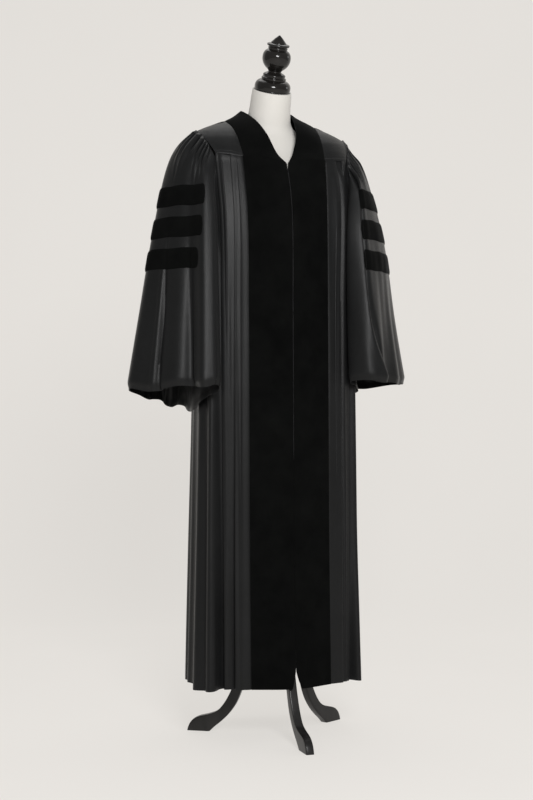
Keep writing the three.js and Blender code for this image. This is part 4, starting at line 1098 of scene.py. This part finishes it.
def zip_tape():
    """A band that follows the fronts' surface from behind."""
    z = np.linspace(ZIP_HEAD_Z, ZIP_FOOT_Z, ROWS)[:, None]
    x = np.linspace(-TAPE_HALF, TAPE_HALF, 9)[None, :] + z * 0
    front, back = zip_front(x, TAPE_FRONT, z), zip_front(x, TAPE_BACK, z)
    piece = cloth_wall("zip_tape", front, back)
    fit(piece, ZIP_FINISH, "zip_nylon", "zip")


def zip_coil():
    """A tube of four sides round a helix. The ring of each point lies across the helix's own direction."""
    count = int((ZIP_HEAD_Z - ZIP_FOOT_Z - 4) / COIL_PITCH * COIL_POINTS)
    turn = np.arange(count) / COIL_POINTS * 2 * math.pi
    z = ZIP_HEAD_Z - 2 - np.arange(count) / COIL_POINTS * COIL_PITCH
    path = zip_front(COIL_HALF * np.cos(turn), COIL_BEHIND - COIL_DEPTH * np.sin(turn), z)
    ahead = unit(np.gradient(path, axis=0))
    side = unit(np.cross(ahead, np.broadcast_to((0.0, 0.0, 1.0), ahead.shape)))
    up = np.cross(side, ahead)
    angles = np.arange(4) * math.pi / 2
    ring = side[:, None] * np.cos(angles)[None, :, None] + up[:, None] * np.sin(angles)[None, :, None]
    points = (path[:, None] + COIL_THREAD * ring).reshape(-1, 3)
    row, column = np.meshgrid(np.arange(count - 1), np.arange(4), indexing="ij")
    first, second = row * 4 + column, row * 4 + (column + 1) % 4
    sides = np.stack([first, first + 4, second + 4, second], axis=-1).reshape(-1, 4)
    ends = np.array([[0, 1, 2, 3], [count * 4 - 1, count * 4 - 2, count * 4 - 3, count * 4 - 4]])
    piece = new_object("zip_coil", points, [np.concatenate([sides, ends])])
    fit(piece, ZIP_FINISH, "zip_nylon")
    print("zip coil turns", count // COIL_POINTS)


def zip_nylon():
    """Nylon with its base set lighter than the black cloth's, a painted highlight: the coil shows as the
    pale line it makes where it catches the light. It stays darker than the cloth's lights, with a dull
    gloss and slight unevenness.
    """
    material, tree, surface, space = start_material("zip_nylon", Roughness=0.42, Specular_IOR_Level=0.4)
    uneven = place_group(tree, UNEVEN, space, Broad=40.0, Fine=700.0)
    cloud = uneven.outputs["Cloud"]
    # Painted highlight: a base lighter than the cloth's stands in for the light the coil catches; the tape
    # shares it.
    colour(tree, surface, cloud, (0.3, (0.018, 0.018, 0.019)), (0.7, (0.034, 0.034, 0.036)))
    bump(tree, surface, uneven.outputs["Grain"], 0.4, 0.0003)
    return material


ZIP_FINISH = zip_nylon()
zip_tape()
zip_coil()

# %% [markdown]
# ## Dress form
# The form is a papier-mache body covered in cream jersey. It is lofted through the same fifteen ovals as its
# solid, with a smooth curve between them, so the neck and the shoulders run together without a step.

# %% Torso
# Columns: height, centre's y, half width, half depth, squareness and lean in degrees.
TORSO = np.array([
    [780, 4, 158, 104, 2.3, 0], [860, 4, 166, 108, 2.3, 0], [960, 3, 158, 104, 2.2, 0],
    [1060, 2, 138, 94, 2.2, 0], [1140, 3, 142, 98, 2.2, 0], [1230, 6, 155, 106, 2.3, 0],
    [1300, 12, 160, 97, 2.3, 0], [1360, 20, 157, 81, 2.3, 0], [1405, 27, 147, 68, 2.2, 2],
    [1433, 32, 118, 60, 2.1, 4], [1452, 33, 80, 54, 2, 8], [1472, 30, 57, 50, 2, 12],
    [1501.5, 22, 50.5, 49, 2, 16], [1533, 12, 48.5, 48, 2, 20], [1550, 6, 47, 47, 2, 22.5],
])


def lathe(name, rings):
    """A closed solid from a grid of rings: quads between them, and a triangle fan over each end."""
    rows, columns = rings.shape[:2]
    row, column = np.meshgrid(np.arange(rows - 1), np.arange(columns), indexing="ij")
    first, second = row * columns + column, row * columns + (column + 1) % columns
    sides = np.stack([first, second, second + columns, first + columns], axis=-1).reshape(-1, 4)
    foot, head = rows * columns, rows * columns + 1
    round_it = np.arange(columns)
    following = (round_it + 1) % columns
    below = np.stack([np.full(columns, foot), following, round_it], axis=-1)
    last = (rows - 1) * columns
    above = np.stack([np.full(columns, head), last + round_it, last + following], axis=-1)
    points = np.concatenate([rings.reshape(-1, 3), [rings[0].mean(axis=0), rings[-1].mean(axis=0)]])
    along = np.linspace(0, 1, rows)[:, None] + np.zeros(columns)
    uv = np.stack([np.zeros((rows, columns)) + round_it / columns, along], axis=-1).reshape(-1, 2)
    uv = np.concatenate([uv, [[0, 0], [0, 1]]])
    fans = np.concatenate([below, above])
    return new_object(name, points, [sides, fans], [uv[sides], uv[fans]], 40)


def spun(profile, count):
    """A profile of radius and height spun about the upright axis, as grids of x, y and z."""
    angle = np.linspace(0, 2 * math.pi, count, endpoint=False)
    return profile[:, :1] * np.cos(angle), profile[:, :1] * np.sin(angle), profile[:, 1:] + 0 * angle


def squared(value, power):
    """One side of the oval |a|^power + |b|^power = 1, from the cosine or the sine of the angle."""
    return np.sign(value) * np.abs(value) ** (2 / power)


def torso_rings():
    """Ovals of |x/a|^n + |y/b|^n = 1 through the table, tilted by their lean."""
    ring = open_curve(TORSO, np.linspace(0, 1, 90))[:, :, None]
    z, y, half_x, half_y, square, lean = (ring[:, n] for n in range(6))
    angle = np.linspace(0, 2 * math.pi, 96, endpoint=False)[None, :]
    x = half_x * squared(np.cos(angle), square)
    across = half_y * squared(np.sin(angle), square)
    return np.stack([x, y + across, z + across * np.tan(np.radians(lean))], axis=-1)


def form_canvas():
    """Cream jersey: fine knit rows on the object's own space, and a faint yellowing in broad clouds."""
    material, tree, surface, space = start_material(
        "form_canvas", Roughness=0.85, Specular_IOR_Level=0.2, Sheen_Weight=0.15, Sheen_Roughness=0.5,
    )
    uneven = place_group(tree, UNEVEN, space, Broad=9.0, Fine=600.0)
    cloud = uneven.outputs["Cloud"]
    colour(tree, surface, cloud, (0.25, (0.63, 0.61, 0.57)), (0.75, (0.68, 0.66, 0.625)))
    weave = place_group(tree, WEAVE, space, Pitch=0.0011, Rib=1.2)
    bump(tree, surface, weave.outputs["Height"], 0.3, 0.0002)
    return material


FORM_FINISH = form_canvas()
torso = lathe("form_torso_jersey", torso_rings())
fit(torso, FORM_FINISH, "form_canvas", "form_torso")

# %% [markdown]
# ## Finial
# The turned finial is the form's handle. It is a profile of radius and height, spun round the neck's
# leaning axis. The profile is drawn with a smooth curve through the turner's marks, with a bead, a groove,
# an urn and a small knob, and then it is lacquered.

# %% Finial
FINIAL = np.array([
    [0.5, 0], [41, 0], [43.2, 2.5], [43.8, 8], [43, 14.5], [40, 20], [35, 24], [31, 25.6], [29.2, 26.2],
    [30, 28.2], [29.8, 31], [27.6, 33], [26.6, 34], [27.2, 36], [27, 38.6], [24.6, 41.2], [20, 43.2],
    [16.6, 45.2], [16, 47.2],
    [19, 51], [25, 56], [30.6, 63.5], [33.8, 72], [34.4, 80], [33, 88], [29, 94.5], [24, 98], [22.4, 99],
    [23.4, 100.6], [23.6, 103], [22.6, 105], [23.6, 106], [26.4, 107.2], [27.2, 109.5], [26.2, 111.8],
    [22.4, 113], [19.4, 113.6], [18.6, 115], [16.9, 117], [12.9, 121.3], [9, 125.6], [2.4, 131.6],
    [0.5, 132.8],
])
NECK_LEAN = math.radians(22.5)


def finial_rings():
    """The profile spun round an axis that leans forwards by the neck's angle, from the top of the neck."""
    x, y, z = spun(open_curve(FINIAL, np.linspace(0, 1, 211)), 72)
    top_z, top_y = TORSO[-1, 0] + 0.4, TORSO[-1, 1]
    tilt_y = y * math.cos(NECK_LEAN) - z * math.sin(NECK_LEAN)
    tilt_z = y * math.sin(NECK_LEAN) + z * math.cos(NECK_LEAN)
    return np.stack([x, tilt_y + top_y - 0.15, tilt_z + top_z], axis=-1)


def black_lacquer():
    """Black lacquer: a dark brown-black under a smooth clear coat, with a little orange peel in the coat."""
    material, tree, surface, space = start_material(
        "black_lacquer", Roughness=0.22, Specular_IOR_Level=0.1, Coat_Weight=0.58, Coat_Roughness=0.06,
    )
    uneven = place_group(tree, UNEVEN, space, Broad=22.0, Fine=120.0)
    cloud = uneven.outputs["Cloud"]
    colour(tree, surface, cloud, (0.3, (0.006, 0.0055, 0.005)), (0.75, (0.012, 0.0105, 0.0095)))
    gloss(tree, surface, uneven.outputs["Grain"], 0.12, 0.16)
    bump(tree, surface, uneven.outputs["Cloud"], 0.12, 0.002)
    return material


LACQUER_FINISH = black_lacquer()
finial = lathe("finial_turned", finial_rings())
fit(finial, LACQUER_FINISH, "black_lacquer", "finial")

# %% [markdown]
# ## Stand
# The pole goes down into a turned hub, and three cabriole legs are let into it. Each leg is sawn from a
# board and rounded with a spokeshave, so it is a run of rounded rectangles between its upper and its lower
# edge.

# %% Stand
# Where the stand's axis lies, its turn in degrees, and the legs' thickness and squareness.
STAND_Y, STAND_TURN, LEG_BOARD, LEG_SQUARENESS = -38, -2.8, 20, 9
LEG_UPPER_EDGE = np.array([
    [22, 295], [28, 292], [57, 262], [79, 212], [94, 160], [107, 122], [122, 88], [137, 64], [152, 49],
    [172, 41], [194, 35.5], [208, 29], [217, 20], [222.5, 9], [225, 0],
])
LEG_LOWER_EDGE = np.array([
    [22, 207], [28, 204], [52, 188], [68, 158], [83, 122], [94, 90], [106, 65], [122, 43], [139, 26],
    [156, 12], [169, 0],
])


def stained_wood():
    """Beech stained black: the grain is long noise stretched down the piece, and it shows in gloss and
    bump."""
    material, tree, surface, space = start_material(
        "stained_wood", Roughness=0.38, Specular_IOR_Level=0.2, Coat_Weight=0.22, Coat_Roughness=0.2,
    )
    stretch = node(tree, "ShaderNodeMapping")
    stretch.inputs["Scale"].default_value = (1, 1, 0.12)
    tree.links.new(space, stretch.inputs["Vector"])
    uneven = place_group(tree, UNEVEN, stretch.outputs[0], Broad=60.0, Fine=500.0)
    cloud = uneven.outputs["Cloud"]
    colour(tree, surface, cloud, (0.3, (0.009, 0.0088, 0.0085)), (0.7, (0.019, 0.018, 0.0175)))
    gloss(tree, surface, uneven.outputs["Cloud"], 0.25, 0.24)
    bump(tree, surface, uneven.outputs["Grain"], 0.35, 0.0004)
    return material


def turned(name, profile, *nodes):
    """A turned piece on the stand's axis from a profile of radius and height."""
    x, y, z = spun(profile, 48)
    piece = lathe(name, np.stack([x, y + STAND_Y, z], axis=-1))
    fit(piece, WOOD_FINISH, "stained_wood", *nodes)


def leg(word, angle):
    """Rounded rectangles |a|^9 + |b|^9 = 1 from the hub to the foot, turned about the stand's axis."""
    along = np.linspace(0, 1, 80)
    upper, lower = open_curve(LEG_UPPER_EDGE, along), open_curve(LEG_LOWER_EDGE, along)
    theta = np.linspace(0, 2 * math.pi, 40, endpoint=False)[None, :]
    a, b = squared(np.cos(theta), LEG_SQUARENESS), squared(np.sin(theta), LEG_SQUARENESS)
    middle, half = (upper + lower) / 2, (upper - lower) / 2
    r = middle[:, :1] + half[:, :1] * a
    z = middle[:, 1:] + half[:, 1:] * a
    across = LEG_BOARD / 2 * b + 0 * r
    turn = math.radians(angle)
    x = r * math.cos(turn) - across * math.sin(turn)
    y = r * math.sin(turn) + across * math.cos(turn) + STAND_Y
    piece = lathe(f"stand_leg_carved_{word}", np.stack([x, y, np.maximum(z, 0)], axis=-1)[:, ::-1])
    fit(piece, WOOD_FINISH, "stained_wood", f"stand_leg_{word}")


WOOD_FINISH = stained_wood()
turned("stand_pole_turned", np.array([
    [0.5, 298], [14, 298], [14, 540], [14, 779], [0.5, 779],
], float), "stand_pole")
turned("stand_hub_turned", np.array([
    [0.5, 196], [20, 196], [22.5, 197.5], [24, 201], [25, 215], [26.3, 250], [27, 282], [27, 290], [26, 294],
    [23, 297], [19.5, 298.2], [18, 299.6], [16, 300], [13.9, 300],
], float), "stand_hub")
for word, angle in (("front", -90), ("left", 30), ("right", 150)):
    leg(word, STAND_TURN + angle)

# %% [markdown]
# ## Floor and light
# The gown is black, so its shape is read almost wholly from soft reflections. The room is a pale sweep of
# paper. One large soft light stands high beside the camera, a weak one far round to its right, and a wide
# one hangs overhead behind the gown. A dim even world keeps the shadows under the stand soft.

# %% Sweep
def sweep():
    """A floor that turns up into a wall on a quarter circle 1.2 m in radius, 1.6 m behind the gown."""
    radius, start = 1.2, 1.6
    bend = np.linspace(0, math.pi / 2, 24)
    run = np.concatenate([[-7, 0], start + radius * np.sin(bend), [start + radius]])
    rise = np.concatenate([[0, 0], radius - radius * np.cos(bend), [7]])
    width = np.array([-8.0, 8.0])
    x = run[:, None] * math.sin(TURN) + width[None, :] * math.cos(TURN)
    y = run[:, None] * math.cos(TURN) - width[None, :] * math.sin(TURN)
    points = np.stack([x, y, rise[:, None] - 0.0004 + 0 * width], axis=-1).reshape(-1, 3) * 1000
    row = np.arange(len(run) - 1)
    faces = np.stack([row * 2, row * 2 + 1, row * 2 + 3, row * 2 + 2], axis=-1)
    floor = new_object("sweep", points, [faces], None, 80)
    material, tree, surface, space = start_material(
        "sweep_paper", Roughness=0.9, Specular_IOR_Level=0.1,
        Emission_Color=(0.76, 0.735, 0.70, 1), Emission_Strength=0.78,
    )
    uneven = place_group(tree, UNEVEN, space, Broad=1.5, Fine=40.0)
    cloud = uneven.outputs["Cloud"]
    colour(tree, surface, cloud, (0.3, (0.235, 0.228, 0.22)), (0.7, (0.245, 0.238, 0.23)))
    floor.data.materials.append(material)


sweep()


# %% Lights
def softbox(name, azimuth, height, distance, size, power, shape="ELLIPSE"):
    """A soft light that faces the gown's chest, placed by the angle round it from the camera, left being
    more."""
    angle = TURN + math.radians(azimuth)
    place = Vector((-math.sin(angle) * distance, AXIS_Y - math.cos(angle) * distance, height))
    lamp = bpy.data.lights.new(name, "AREA")
    lamp.shape, lamp.size, lamp.size_y, lamp.energy = shape, size[0], size[1], power
    obj = bpy.data.objects.new(name, lamp)
    obj.location = place
    obj.rotation_euler = (Vector((0, AXIS_Y, 1.0)) - place).to_track_quat("-Z", "Y").to_euler()
    bpy.context.scene.collection.objects.link(obj)


softbox("key", -9, 2.2, 3.3, (1.2, 1.2), 96)
softbox("side", -104, 2.3, 3.2, (0.8, 1.0), 5)
softbox("top", 180, 3.6, 0.8, (2.0, 1.6), 13, "RECTANGLE")
world = bpy.data.worlds.new("room")
world.use_nodes = True
world.node_tree.nodes["Background"].inputs["Color"].default_value = (1.0, 0.99, 0.97, 1)
world.node_tree.nodes["Background"].inputs["Strength"].default_value = 0.3
bpy.context.scene.world = world
bpy.context.scene.view_settings.view_transform = "Standard"

# %% Sizes
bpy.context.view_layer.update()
meshes = [piece.data for piece in bpy.data.objects if piece.type == "MESH"]
print("triangles", sum(len(face.vertices) - 2 for mesh in meshes for face in mesh.polygons))
